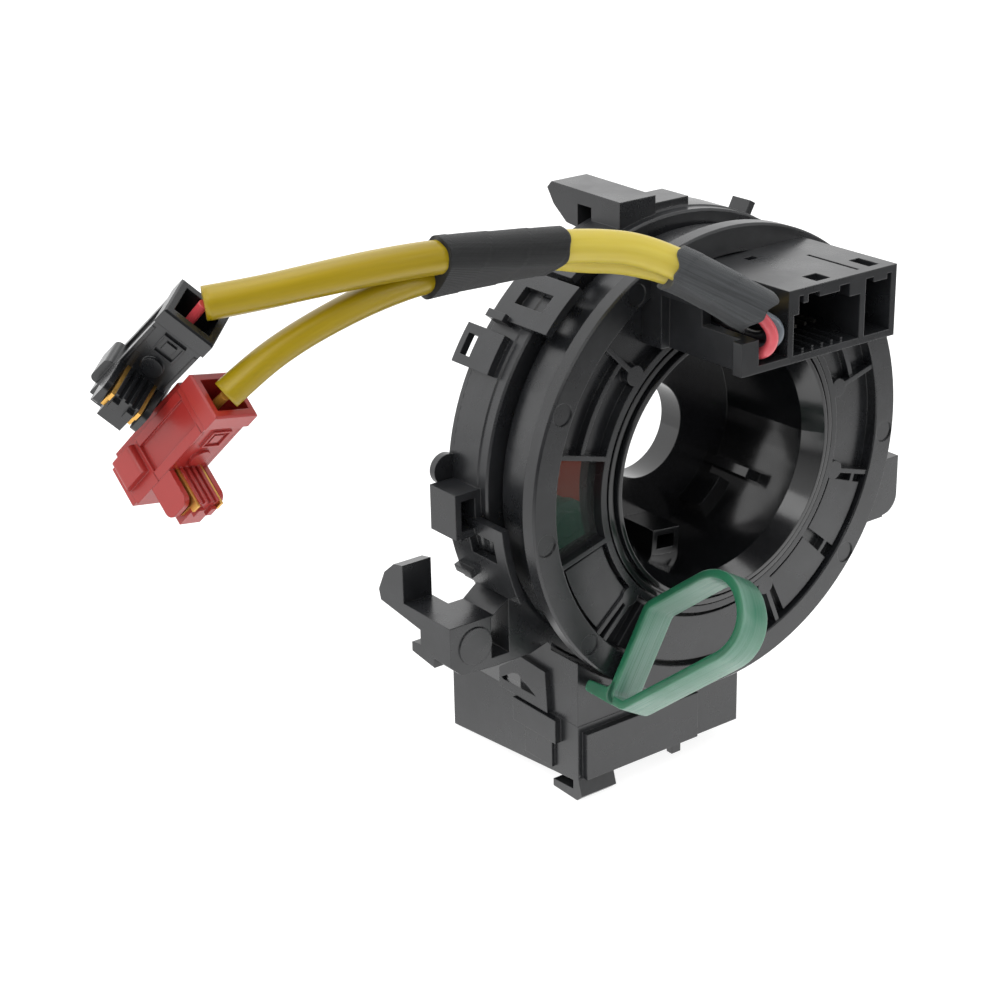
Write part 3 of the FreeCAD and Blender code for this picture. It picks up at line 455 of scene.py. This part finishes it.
def grid_mesh(name, rows, uv):
    """Closed tube of quads over an m x n grid of points, joined round the second way.

    The UV map "along" is in metres: x along the tube, y round it, carried on past the seam.
    Each end is a fan round a new middle point."""
    m, n = rows.shape[:2]
    index = np.arange(m * n).reshape(m, n)
    ahead = np.roll(index, -1, axis=1)
    faces = np.stack([index[:-1], ahead[:-1], ahead[1:], index[1:]], axis=-1).reshape(-1, 4)
    mesh = bpy.data.meshes.new(name)
    mesh.from_pydata(rows.reshape(-1, 3).tolist(), [], faces.tolist())
    layer = mesh.uv_layers.new(name="along")
    corner = np.zeros(len(mesh.loops), int)
    mesh.loops.foreach_get("vertex_index", corner)
    values = uv.reshape(-1, 2)[corner].reshape(-1, 4, 2)
    wrap = uv[0, -1, 1] + (uv[0, 1, 1] - uv[0, 0, 1])
    seam = values[:, :, 1].max(1) - values[:, :, 1].min(1) > wrap / 2
    low = values[:, :, 1] < wrap / 2
    values[:, :, 1] += np.where(seam[:, None] & low, wrap, 0.0)
    layer.data.foreach_set("uv", values.reshape(-1))
    mesh.shade_smooth()

    work = bmesh.new()
    work.from_mesh(mesh)
    for start, flip in ((0, True), ((m - 1) * n, False)):
        work.verts.ensure_lookup_table()
        loop = [work.verts[start + i] for i in range(n)]
        middle = work.verts.new(sum((v.co for v in loop), loop[0].co * 0) / n)
        for i in range(n):
            a, b = loop[i], loop[(i + 1) % n]
            work.faces.new((b, a, middle) if flip else (a, b, middle))
    bmesh.ops.recalc_face_normals(work, faces=work.faces)
    work.to_mesh(mesh)
    work.free()
    return mesh


def rounded_outline(corners, rounds, steps=8):
    """Closed outline with round corners.

    A corner's arc is c + (sin((1 - t) a) u + sin(t a) v) / sin a for t from 0 to 1, with u and
    v from its centre c to the two tangent points and a the angle between them."""
    p = np.array(corners, float)
    u = unit(np.roll(p, 1, axis=0) - p)
    v = unit(np.roll(p, -1, axis=0) - p)
    half = np.arccos(np.clip((u * v).sum(-1), -1.0, 1.0)) / 2
    r = np.array(rounds, float)[:, None]
    tangent_way = r / np.tan(half)[:, None]
    centre = p + unit(u + v) * (r / np.sin(half)[:, None])
    first = (p + u * tangent_way - centre)[:, None]
    last = (p + v * tangent_way - centre)[:, None]
    a = (math.pi - 2 * half)[:, None, None]
    t = np.linspace(0.0, 1.0, steps)[None, :, None]
    arc = (np.sin((1 - t) * a) * first + np.sin(t * a) * last) / np.sin(a)
    return (centre[:, None] + arc).reshape(-1, 2)


def prism(outline, start, stop, axis="z"):
    """Two rings: a flat outline carried from start to stop along an axis."""
    flat = np.array(outline, float)
    level = np.broadcast_to(np.array([[start], [stop]], float), (2, len(flat)))
    a = np.broadcast_to(flat[:, 0], level.shape)
    b = np.broadcast_to(flat[:, 1], level.shape)
    order = {"x": (level, a, b), "y": (a, level, b), "z": (a, b, level)}[axis]
    return np.stack(order, axis=-1)


def bar(x0, x1, y0, y1, z0, z1):
    """Box between two levels on each axis."""
    return prism([(x0, y0), (x1, y0), (x1, y1), (x0, y1)], z0, z1)


def stations(rows):
    """Rings of oblongs (x, half width, low z, high z) one after another along x."""
    x, w, low, high = np.array(rows, float).T
    return np.stack([np.stack([x, s * w, z], axis=-1)
                     for s, z in ((-1, low), (1, low), (1, high), (-1, high))], axis=1)


def shell_mesh(name, parts):
    """One mesh of closed shells, each a grid joined round: (rows, True) is joined at both ends
    too, as a loop is, and (rows, False) gets two flat ends."""
    points, faces, start = [], [], 0
    for rows, ringed in parts:
        m, n = rows.shape[:2]
        index = start + np.arange(m * n).reshape(m, n)
        here, ahead = (index, np.roll(index, -1, axis=0)) if ringed else (index[:-1], index[1:])
        quads = np.stack([here, np.roll(here, -1, axis=1), np.roll(ahead, -1, axis=1), ahead],
                         axis=-1)
        faces += quads.reshape(-1, 4).tolist()
        if not ringed:
            faces += [index[0, ::-1].tolist(), index[-1].tolist()]
        points.append(rows.reshape(-1, 3))
        start += m * n
    mesh = bpy.data.meshes.new(name)
    mesh.from_pydata((np.concatenate(points) * MM).tolist(), [], faces)
    work = bmesh.new()
    work.from_mesh(mesh)
    bmesh.ops.recalc_face_normals(work, faces=work.faces)
    work.to_mesh(mesh)
    work.free()
    mesh.shade_smooth()
    mesh.set_sharp_from_angle(angle=math.radians(35))
    return mesh


def loop_band(outline, wall, width, edge):
    """Rows of a closed band: a round-cornered oblong of wall by width carried round an outline.

    A point is p + a n + b z: p on the outline, n its inward way, (a, b) on the oblong."""
    flat = np.array(outline, float)
    ahead = unit(np.roll(flat, -1, axis=0) - np.roll(flat, 1, axis=0))
    inward = np.stack([-ahead[:, 1], ahead[:, 0]], axis=-1)
    area = (flat[:, 0] * np.roll(flat[:, 1], -1) - flat[:, 1] * np.roll(flat[:, 0], -1)).sum()
    inward *= np.sign(area)
    oblong = rounded_outline([(0, 0), (wall, 0), (wall, width), (0, width)], [edge] * 4, 4)
    across = flat[:, None, :] + inward[:, None, :] * oblong[None, :, :1]
    level = np.broadcast_to(oblong[None, :, 1], across.shape[:2])
    return np.concatenate([across, level[..., None]], axis=-1)


def placed(rows, origin, x_way, y_way, z_way):
    """Rows moved from their own frame: origin + x X + y Y + z Z, in millimetres."""
    return np.asarray(origin, float) + rows @ np.array([x_way, y_way, z_way], float)


def add_piece(name, mesh, material, body, nodes):
    """Links a mesh as a piece that rides on a body and stands for CAD nodes."""
    made = bpy.data.objects.new(name, mesh)
    bpy.context.scene.collection.objects.link(made)
    mesh.materials.clear()
    mesh.materials.append(material)
    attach(made, body)
    if nodes:
        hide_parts(*nodes)
    return made


def arc_lengths(points):
    """Length along a line up to each of its points."""
    return np.concatenate([[0.0], np.cumsum(np.linalg.norm(np.diff(points, axis=0), axis=1))])


def tube_rows(points, guide, radius, count, squash=None, wobble=None):
    """Ring of points round each path point: radius by turn angle, flattened and rippled."""
    _, up, side = frames_along(points, guide)
    turn = np.linspace(0.0, 2 * math.pi, count, endpoint=False)
    reach = np.broadcast_to(np.asarray(radius, float).reshape(-1, 1), (len(points), count)).copy()
    if wobble is not None:
        reach = reach * (1.0 + wobble(arc_lengths(points)[:, None], turn[None, :]))
    flat = np.ones(len(points)) if squash is None else squash
    along_up = np.cos(turn)[None, :] * reach
    along_side = np.sin(turn)[None, :] * reach * flat[:, None]
    rows = (points[:, None, :] + up[:, None, :] * along_up[..., None]
            + side[:, None, :] * along_side[..., None])
    s = np.broadcast_to(arc_lengths(points)[:, None], reach.shape)
    v = np.broadcast_to(turn[None, :] * reach.mean(), reach.shape)
    return rows, np.stack([s, v], axis=-1)


def wrap_rows(a, b, start, stop, radius, fray, count=72, rings=70):
    """Rings of a helical wrap round two lines between two arc lengths of the first.

    A ring's point at turn t is m + w (h k(t) + r cos t) + d r sin t, with m the middle of the
    two lines, w the way between them, h half their distance, k(t) = sign(cos t) min(1,
    3 |cos t|) and d = tangent x w. The radius r steps down by the tape's thickness at each
    lap, and both ends are frayed by fray (0.6 sin(2 t + 0.7) + 0.4 sin(5 t))."""
    lengths = arc_lengths(a)
    s = np.linspace(start, stop, rings)
    pa = np.stack([np.interp(s, lengths, a[:, k]) for k in range(3)], axis=-1)
    head = unit(a[1] - a[0])
    pa += np.minimum(s - lengths[0], 0.0)[:, None] * head
    pb = b[np.argmin(np.linalg.norm(pa[:, None, :] - b[None, :, :], axis=-1), axis=1)]
    for _ in range(3):
        pb = np.concatenate([pb[:1], (pb[:-2] + pb[1:-1] + pb[2:]) / 3, pb[-1:]])
    middle = (pa + pb) / 2
    tangent = unit(np.gradient(middle, axis=0))
    span = pa - pb
    span = span - tangent * (span * tangent).sum(-1, keepdims=True)
    half = np.linalg.norm(span, axis=-1) / 2
    wide = unit(span)
    thick = np.cross(tangent, wide)
    turn = np.linspace(0.0, 2 * math.pi, count, endpoint=False)
    lap = np.mod((s[:, None] - start) / LAP_PITCH + turn[None, :] / (2 * math.pi), 1.0)
    proud = radius + LAP_STEP * (1.0 - lap)
    lean = np.sign(np.cos(turn)) * np.minimum(1.0, np.abs(np.cos(turn)) * 3.0)
    across = np.cos(turn)[None, :] * proud + lean[None, :] * half[:, None]
    ragged = fray * (0.6 * np.sin(2 * turn + 0.7) + 0.4 * np.sin(5 * turn))
    ends = (np.exp(-(stop - s) / (1.5 * MM)) - np.exp(-(s - start) / (1.5 * MM)))[:, None]
    rows = (middle[:, None, :] + wide[:, None, :] * across[..., None]
            + thick[:, None, :] * (np.sin(turn)[None, :] * proud)[..., None]
            + tangent[:, None, :] * (ends * ragged[None, :])[..., None])
    uv = np.stack([np.broadcast_to(s[:, None], lap.shape),
                   np.broadcast_to(turn[None, :] * radius * 1.6, lap.shape)], axis=-1)
    return rows, uv


class CLOCKSPRING_OT_finishes(Operator):
    """Give every moulded, metal and film part its finish"""

    bl_idname = "clockspring.finishes"
    bl_label = "Part finishes"

    def execute(self, context):
        look = context.scene.clock_spring_colours
        edge = context.scene.clock_spring_sizes.edge
        case = moulded("moulded_pbt_satin", look.case, 0.28, 0.5 * MM, 0.02 * MM, edge, 0.0, 0.5)
        disc = moulded("moulded_pom_disc", look.rotor, 0.27, 0.8 * MM, 0.012 * MM, edge, 0.0, 0.8)
        # Painted shade: the hub is the rotor's own black darkened to 0.6, for the dark
        # surroundings mirrored in its polished funnel
        hub = moulded("moulded_pom_polished", shaded(look.rotor, 0.6), 0.13, 2.0 * MM,
                      0.01 * MM, edge, 0.2)
        black = moulded("moulded_nylon_black", look.black_plug, 0.27, 0.4 * MM, 0.015 * MM,
                        edge * 0.7, 0.1, 0.15)
        red = moulded("moulded_nylon_red", look.red_plug, 0.34, 0.4 * MM, 0.012 * MM, edge * 0.7,
                      0.05, 0.0)
        roller = moulded("moulded_pom_green", look.roller, 0.4, 0.5 * MM, 0.01 * MM, edge)
        lit = roller.node_tree.nodes["Principled BSDF"]
        lit.inputs["Emission Color"].default_value = look.roller[:3] + (1.0,)
        lit.inputs["Emission Strength"].default_value = ROLLER_GLOW
        tin = tinned_brass("tinned_brass", linear("#C9C6BE"), 0.28)
        gold = tinned_brass("gold_flashed_bronze", linear("#D6A85A"), 0.42)
        finish_of = {
            "stator_case": case, "rear_cover": case, "lower_housing": case,
            "connector_housing": case, "rotor_disc": disc, "rotor_sleeve": hub,
            "window_lens": smoke_lens(), "switch_terminals": tin, "lower_terminals": tin,
            "ribbon_cable": polyester_ribbon(), "roller_carrier": roller,
            "black_plug_body": black, "black_plug_cover": black,
            "red_plug_body": red, "red_plug_cover": red,
            "black_plug_contacts": gold, "red_plug_contacts": gold,
        }
        finish_of.update({name: roller for name in NODES if name.startswith("guide_roller_")})
        for name, made in finish_of.items():
            slots = NODES[name].material_slots
            for slot in slots:
                slot.material = made
            if not slots:
                NODES[name].data.materials.append(made)
        return {"FINISHED"}


class CLOCKSPRING_OT_key(Operator):
    """Mould the green key: a D-shaped band with a leg beside the rim"""

    bl_idname = "clockspring.key"
    bl_label = "Lock key"

    def execute(self, context):
        size = context.scene.clock_spring_sizes
        look = context.scene.clock_spring_colours
        wall, width = size.key_wall / MM, size.key_width / MM
        outline = rounded_outline([(1.0, 31.2), (17.1, 15.5), (30.2, 28.9), (6.4, 52.1),
                                   (1.0, 52.1)], [3.5, 8.7, 8.7, 2.4, 2.0], 14)
        leg = rounded_outline([(1.9, 47.6), (0.6, 49.4), (-4.9, 49.8), (-4.9, 52.0),
                               (3.6, 52.1), (3.0, 50.0)], [0.2, 0.8, 0.9, 0.9, 0.2, 0.2])
        parts = [(loop_band(outline, wall, width, 0.45), True),
                 (prism(leg, 0.0, width), False)]
        side = np.array(KEY_ACROSS) * KEY_START
        mesh = shell_mesh("lock_key_band", [
            (placed(rows, (side[0], FACE_Y, side[2]), (0.0, -1.0, 0.0), KEY_OUT, KEY_ACROSS),
             ringed) for rows, ringed in parts])
        add_piece("lock_key_band", mesh, key_polypropylene(look.key), "key",
                  ["lock_key"])
        return {"FINISHED"}


class CLOCKSPRING_OT_tongue(Operator):
    """Mould the snap tongue with its wedge opening on the foot's left face"""

    bl_idname = "clockspring.tongue"
    bl_label = "Snap tongue"

    def execute(self, context):
        plate = np.array([(15.7, -41.4), (23.8, -41.0), (31.0, -46.0), (31.0, -50.4),
                          (15.0, -50.4)])
        hole = np.array([(18.6, -48.1), (24.7, -45.3), (26.4, -45.7), (30.2, -48.0),
                         (29.6, -48.4)])
        root, front = BLOCK_LEFT_X + TONGUE_ROOT, BLOCK_LEFT_X - TONGUE_PROUD
        rows = np.stack([np.stack([np.full(len(flat), x), FACE_Y + flat[:, 0], flat[:, 1]],
                                  axis=-1)
                         for flat, x in ((plate, root), (plate, front), (hole, front),
                                         (hole, root))], axis=1)
        add_piece("snap_tongue", shell_mesh("snap_tongue", [(rows, True)]),
                  bpy.data.materials["moulded_pbt_satin"], "stator", [])
        return {"FINISHED"}


class CLOCKSPRING_OT_plugs(Operator):
    """Mould the two right-angle plugs with their back locks and spring contacts"""

    bl_idname = "clockspring.plugs"
    bl_label = "Airbag plugs"

    def body_parts(self):
        """Collared shell with an open mouth, side rails, fluted barrel, prongs and latches.

        Millimetres in the plug's own frame: x along the body, y across it, z up the barrel."""
        shell = stations([(26.0, 2.9, -3.9, 2.5), (25.4, 3.5, -4.5, 3.1), (23.4, 3.5, -4.5, 3.1),
                          (23.3, 4.5, -4.5, 4.1), (16.6, 4.5, -4.5, 4.1), (16.5, 3.9, -4.5, 4.1),
                          (3.7, 3.9, -4.5, 4.1), (3.6, 4.5, -4.5, 4.1), (2.3, 4.5, -4.5, 4.1),
                          (2.2, 4.85, -4.5, 4.5), (-0.7, 4.85, -4.5, 4.5),
                          (-1.0, 4.55, -4.2, 4.2), (-1.0, 3.5, -3.1, 3.1), (5.6, 3.4, -3.0, 3.0)])
        barrel = prism([(13.2, -2.3), (13.2, -1.65), (13.7, -1.65), (13.7, -0.95), (13.2, -0.95),
                        (13.2, -0.35), (13.7, -0.35), (13.7, 0.35), (13.2, 0.35), (13.2, 0.95),
                        (13.7, 0.95), (13.7, 1.65), (13.2, 1.65), (13.2, 2.3), (19.4, 2.3),
                        (19.4, -2.3)], 3.5, 11.3)
        prong = rounded_outline([(13.6, 3.5), (19.0, 3.5), (19.0, 10.7), (13.6, 10.7)],
                                [0.1, 0.1, 1.6, 1.6])
        parts = [shell, barrel, prism(rounded_outline([(8.5, -1.9), (12.3, -1.9), (12.3, 1.9),
                                                       (8.5, 1.9)], [1.89] * 4), 3.8, 4.7)]
        for side in (1, -1):
            parts.append(prism(prong, side * 3.85 - 0.55, side * 3.85 + 0.55, "y"))
            parts.append(bar(14.4, 16.2, side * 1.4 - 0.6, side * 1.4 + 0.6, 11.2, 12.1))
            latch = rounded_outline([(17.4, 3.4), (23.2, 3.4), (23.2, 5.9), (17.4, 5.9)],
                                    [0.1, 0.1, 1.1, 1.1]) * (1, side)
            parts.append(prism(latch, -3.9, 1.5))
            for low, high in ((-4.5, -2.9), (2.3, 4.1)):
                parts.append(bar(3.4, 16.8, side * 4.15 - 0.35, side * 4.15 + 0.35, low, high))
        frame_rows = loop_band([(3.2, -2.1), (7.4, -2.1), (7.4, 2.1), (3.2, 2.1)], 0.5, 0.55, 0.1)
        frame_rows[..., 2] += 4.0
        island = bar(4.3, 6.3, -1.0, 1.0, 4.0, 4.4)
        return [(rows, False) for rows in parts + [island]] + [(frame_rows, True)]

    def execute(self, context):
        lock = [bar(3.0, 22.6, -3.95, 3.95, -5.7, -4.4), bar(5.0, 19.0, -1.2, 1.2, -6.3, -5.6),
                bar(22.0, 25.4, -2.4, 2.4, -5.7, -4.4)]
        blades = [b for side in (1, -1) for b in (
            bar(13.4, 17.6, side * 2.62 - 0.3, side * 2.62 + 0.3, 4.0, 10.7),
            bar(13.4, 15.0, side * 2.62 - 0.3, side * 2.62 + 0.3, 10.6, 11.8))]
        for shade, (origin, along, out) in PLUG_PLACES.items():
            x = unit(np.array(along))
            z = unit(np.array(out) - x * np.dot(out, x))
            y = np.cross(z, x)
            nylon = bpy.data.materials["moulded_nylon_" + shade]
            gold = bpy.data.materials["gold_flashed_bronze"]
            for piece, node, parts, finish, slot in (
                    ("shell", "body", self.body_parts(), nylon, "plug_" + shade),
                    ("lock", "cover", [(rows, False) for rows in lock], nylon, "plug_" + shade),
                    ("blades", "contacts", [(rows, False) for rows in blades], gold,
                     "gold_contact")):
                name = shade + "_plug_" + piece
                mesh = shell_mesh(name, [(placed(rows, origin, x, y, z), ringed)
                                         for rows, ringed in parts])
                add_piece(name, mesh, finish, "rotor", [shade + "_plug_" + node])
        return {"FINISHED"}


class CLOCKSPRING_OT_wires(Operator):
    """Lay the four cores in the wire bay and the core at each plug"""

    bl_idname = "clockspring.wires"
    bl_label = "Insulated cores"

    def execute(self, context):
        size = context.scene.clock_spring_sizes
        cores = [("bay_core_" + name, BAY_WIRE_ROUTES[name], size.core, code, name + "_wire",
                  "bay_wire_" + name)
                 for name, code in (("red", "#C9525A"), ("grey", "#5E656C"),
                                    ("yellow", "#C9A92C"), ("dark", "#1C1D20"))]
        cores.append(("black_plug_core", PLUG_WIRE_ROUTES["black"], size.plug_core, "#C4434A",
                      "red_wire", "black_plug_wire"))
        cores.append(("red_plug_core", PLUG_WIRE_ROUTES["red"], size.plug_core, "#A9762E",
                      "orange_wire", "red_plug_wire"))
        for name, route, diameter, code, slot, node in cores:
            rows, uv = tube_rows(line_points(route, 12), WIRE_GUIDE, diameter / 2, 20)
            add_piece(name, grid_mesh(name, rows, uv), core_insulation("insulation_" + name, code),
                      "rotor", [node])
        return {"FINISHED"}


class CLOCKSPRING_OT_sleeves(Operator):
    bl_idname = "clockspring.sleeves"
    bl_label = "Vinyl sleeves"

    def execute(self, context):
        size = context.scene.clock_spring_sizes
        look = context.scene.clock_spring_colours
        vinyl = sleeve_vinyl(look.sleeve)
        for name, route, diameter, pieces in (
                ("a", SLEEVE_A_ROUTE, size.sleeve_a,
                 ["black_plug_shell", "black_plug_lock", "black_plug_blades",
                  "black_plug_core", "bay_core_grey", "bay_core_yellow"]),
                ("b", SLEEVE_B_ROUTE, size.sleeve_b,
                 ["red_plug_shell", "red_plug_lock", "red_plug_blades",
                  "red_plug_core", "bay_core_red", "bay_core_dark"])):
            points = line_points(route, 16)
            s = arc_lengths(points)
            pinch = 1.0 - 0.05 * np.sin(s / (9.0 * MM)) * np.sin(s / (23.0 * MM) + 1.0)

            def ripple(along, turn):
                """Shallow flats along the sleeve where it lies on the cores inside."""
                return (0.018 * np.sin(2 * turn + along / (31.0 * MM))
                        + 0.012 * np.sin(5 * turn + along / (17.0 * MM)))

            rows, uv = tube_rows(points, SLEEVE_GUIDE, diameter / 2 * 0.98, size.rings,
                                 squash=pinch, wobble=ripple)
            mesh = grid_mesh("vinyl_sleeve_" + name, rows, uv)
            sleeve = add_piece("vinyl_sleeve_" + name, mesh, vinyl, "rotor",
                               ["lead_sleeve_" + name])
        return {"FINISHED"}


class CLOCKSPRING_OT_tapes(Operator):
    """Wind the cloth tape round both sleeves in two places"""

    bl_idname = "clockspring.tapes"
    bl_label = "Cloth tapes"

    def execute(self, context):
        size = context.scene.clock_spring_sizes
        look = context.scene.clock_spring_colours
        a = line_points(SLEEVE_A_ROUTE, 40)
        b = line_points(SLEEVE_B_ROUTE, 40)
        lengths = arc_lengths(a)
        stops = [lengths[np.argmin(np.linalg.norm(a - np.array(SLEEVE_A_ROUTE[i]) * MM, axis=1))]
                 for i in (2, 5, 7)]
        # The last number lifts the tape's black: the mouth tape's 5.2 is painted light, a lit copy
        # of the same black as the middle tape
        for name, node, start, stop, fray, painted_light_level in (
                ("mouth_tape", "tape_wrap_1", -1.8 * MM, stops[0] + 1.5 * MM, 1.0 * MM, 5.2),
                ("middle_tape", "tape_wrap_2", stops[1], stops[2], 0.35 * MM, 1.0)):
            cloth = cloth_tape(name.replace("tape", "woven_tape"), shaded(look.tape, painted_light_level))
            rows, uv = wrap_rows(a, b, start, stop, size.sleeve_a / 2 + size.tape_wall, fray)
            add_piece(name, grid_mesh(name, rows, uv), cloth, "rotor", [node])
        return {"FINISHED"}


def studio_world():
    """White to the camera; to the part, a bright room behind, above and to the left of it.

    The level is 0.05 + 1.45 smoothstep((d . v + 0.35) / 0.95), with v towards the bright side."""
    world = bpy.data.worlds.new("studio_world")
    world.use_nodes = True
    tree = world.node_tree
    tree.nodes.clear()
    where = add_node(tree, "ShaderNodeTexCoord", (-1000, -200))
    facing = dot(tree, where.outputs["Generated"], (-800, -200), BRIGHT_WAY)
    room = spread(tree, facing, (-600, -200), 0.05, 1.5, -0.35, 0.6,
                  interpolation_type="SMOOTHSTEP")
    path = add_node(tree, "ShaderNodeLightPath", (-800, 200))
    seen = calc(tree, "MAXIMUM", (-600, 200), path.outputs["Is Camera Ray"],
                path.outputs["Is Transmission Ray"])
    level = add_node(tree, "ShaderNodeMix", (-300, 0), data_type="FLOAT")
    for socket, value in ((0, seen), (2, room), (3, 1.0)):
        feed(tree, level.inputs[socket], value)
    back = add_node(tree, "ShaderNodeBackground", (0, 0), [(level.outputs[0], "Strength")],
                    Color=linear("#FFFFFF"))
    add_node(tree, "ShaderNodeOutputWorld", (200, 0), [(back.outputs[0], "Surface")])
    return world


def studio_floor():
    """Blown-out paper floor with a faint shadow; gloss mirrors it dark in front, bright behind.

    The mirrored level is 0.12 to 1.9 over y from -0.28 to -0.10 m, times 1 to 0.6 over y from
    -0.05 to 0.03 m."""
    made, tree, shader, out = new_material("white_paper_floor")
    tree.nodes.remove(shader)
    paper = add_node(tree, "ShaderNodeBsdfDiffuse", (-400, 200), Color=linear("#F4F4F4"))
    soft = add_node(tree, "ShaderNodeBsdfDiffuse", (-400, 400), Color=linear("#999999"))
    glow = add_node(tree, "ShaderNodeEmission", (-400, 600), Color=linear("#FFFFFF"),
                    Strength=0.88)
    seen = add_node(tree, "ShaderNodeAddShader", (-200, 500),
                    [(soft.outputs[0], 0), (glow.outputs[0], 1)])
    where = add_node(tree, "ShaderNodeTexCoord", (-1000, -200))
    part = add_node(tree, "ShaderNodeSeparateXYZ", (-800, -200), [(where.outputs["Object"], 0)])
    fade = spread(tree, part.outputs["Y"], (-600, -200), 0.12, 1.9, -0.28, -0.10)
    behind = spread(tree, part.outputs["Y"], (-600, -400), 1.0, 0.6, -0.05, 0.03)
    level = calc(tree, "MULTIPLY", (-500, -300), fade, behind)
    card = add_node(tree, "ShaderNodeEmission", (-400, -200), [(level, "Strength")],
                    Color=linear("#FFFFFF"))
    path = add_node(tree, "ShaderNodeLightPath", (-600, 800))
    mirrored = add_node(tree, "ShaderNodeMixShader", (-200, 100),
                        [(path.outputs["Is Glossy Ray"], 0), (paper.outputs[0], 1),
                         (card.outputs[0], 2)])
    shown = add_node(tree, "ShaderNodeMixShader", (0, 300),
                     [(path.outputs["Is Camera Ray"], 0), (mirrored.outputs[0], 1),
                      (seen.outputs[0], 2)])
    tree.links.new(shown.outputs[0], out.inputs["Surface"])
    return made


class CLOCKSPRING_OT_studio(Operator):
    """Set the floor, soft lights, world and camera"""

    bl_idname = "clockspring.studio"
    bl_label = "Studio"

    def execute(self, context):
        scene = context.scene
        low = CAD_BOX[0][2]
        mesh = bpy.data.meshes.new("pale_floor")
        mesh.from_pydata([(x * FLOOR_HALF, y * FLOOR_HALF, low)
                          for x, y in ((-1, -1), (1, -1), (1, 1), (-1, 1))], [], [(0, 1, 2, 3)])
        floor = bpy.data.objects.new("pale_floor", mesh)
        scene.collection.objects.link(floor)
        mesh.materials.append(studio_floor())
        scene.world = studio_world()

        for name, place, width, height, power, mirrored in LAMPS:
            lamp = bpy.data.lights.new(name, "AREA")
            lamp.shape = "RECTANGLE"
            lamp.size = width
            lamp.size_y = height
            lamp.energy = power
            holder = bpy.data.objects.new(name, lamp)
            holder.visible_glossy = mirrored
            scene.collection.objects.link(holder)
            back_axis = unit(np.array(place))
            right = unit(np.cross((0.0, 0.0, 1.0) if abs(back_axis[2]) < 0.95 else (0, 1, 0),
                                  back_axis))
            up = np.cross(back_axis, right)
            holder.matrix_world = Matrix((
                (right[0], up[0], back_axis[0], place[0]),
                (right[1], up[1], back_axis[1], place[1]),
                (right[2], up[2], back_axis[2], place[2]), (0, 0, 0, 1)))

        lens = bpy.data.cameras.new("photo_camera")
        lens.sensor_width = SENSOR_MM
        lens.lens = LENS_MM
        lens.clip_start = 0.01
        camera = bpy.data.objects.new("photo_camera", lens)
        scene.collection.objects.link(camera)
        camera.matrix_world = Matrix(CAMERA_ROWS)
        scene.camera = camera
        scene.view_settings.view_transform = "Standard"
        return {"FINISHED"}


class CLOCKSPRING_PT_panel(Panel):
    """Sizes, colours and building steps of the clock spring's finish"""

    bl_label = "Clock Spring"
    bl_space_type = "VIEW_3D"
    bl_region_type = "UI"
    bl_category = "Clock Spring"

    def draw(self, context):
        for group in (context.scene.clock_spring_sizes, context.scene.clock_spring_colours):
            for name in group.__annotations__:
                self.layout.prop(group, name)
        for step in STEPS:
            self.layout.operator(step.bl_idname)


STEPS = (CLOCKSPRING_OT_finishes, CLOCKSPRING_OT_key, CLOCKSPRING_OT_tongue, CLOCKSPRING_OT_plugs,
         CLOCKSPRING_OT_wires, CLOCKSPRING_OT_sleeves, CLOCKSPRING_OT_tapes,
         CLOCKSPRING_OT_studio)
CLASSES = (ClockSpringColours, ClockSpringSizes) + STEPS + (CLOCKSPRING_PT_panel,)


def register():
    for one in CLASSES:
        bpy.utils.register_class(one)
    bpy.types.Scene.clock_spring_sizes = PointerProperty(type=ClockSpringSizes)
    bpy.types.Scene.clock_spring_colours = PointerProperty(type=ClockSpringColours)


def unregister():
    del bpy.types.Scene.clock_spring_colours
    del bpy.types.Scene.clock_spring_sizes
    for one in reversed(CLASSES):
        bpy.utils.unregister_class(one)


def main():
    register()
    bpy.ops.clockspring.finishes()
    bpy.ops.clockspring.key()
    bpy.ops.clockspring.tongue()
    bpy.ops.clockspring.plugs()
    bpy.ops.clockspring.wires()
    bpy.ops.clockspring.sleeves()
    bpy.ops.clockspring.tapes()
    bpy.ops.clockspring.studio()


if __name__ == "__main__":
    main()
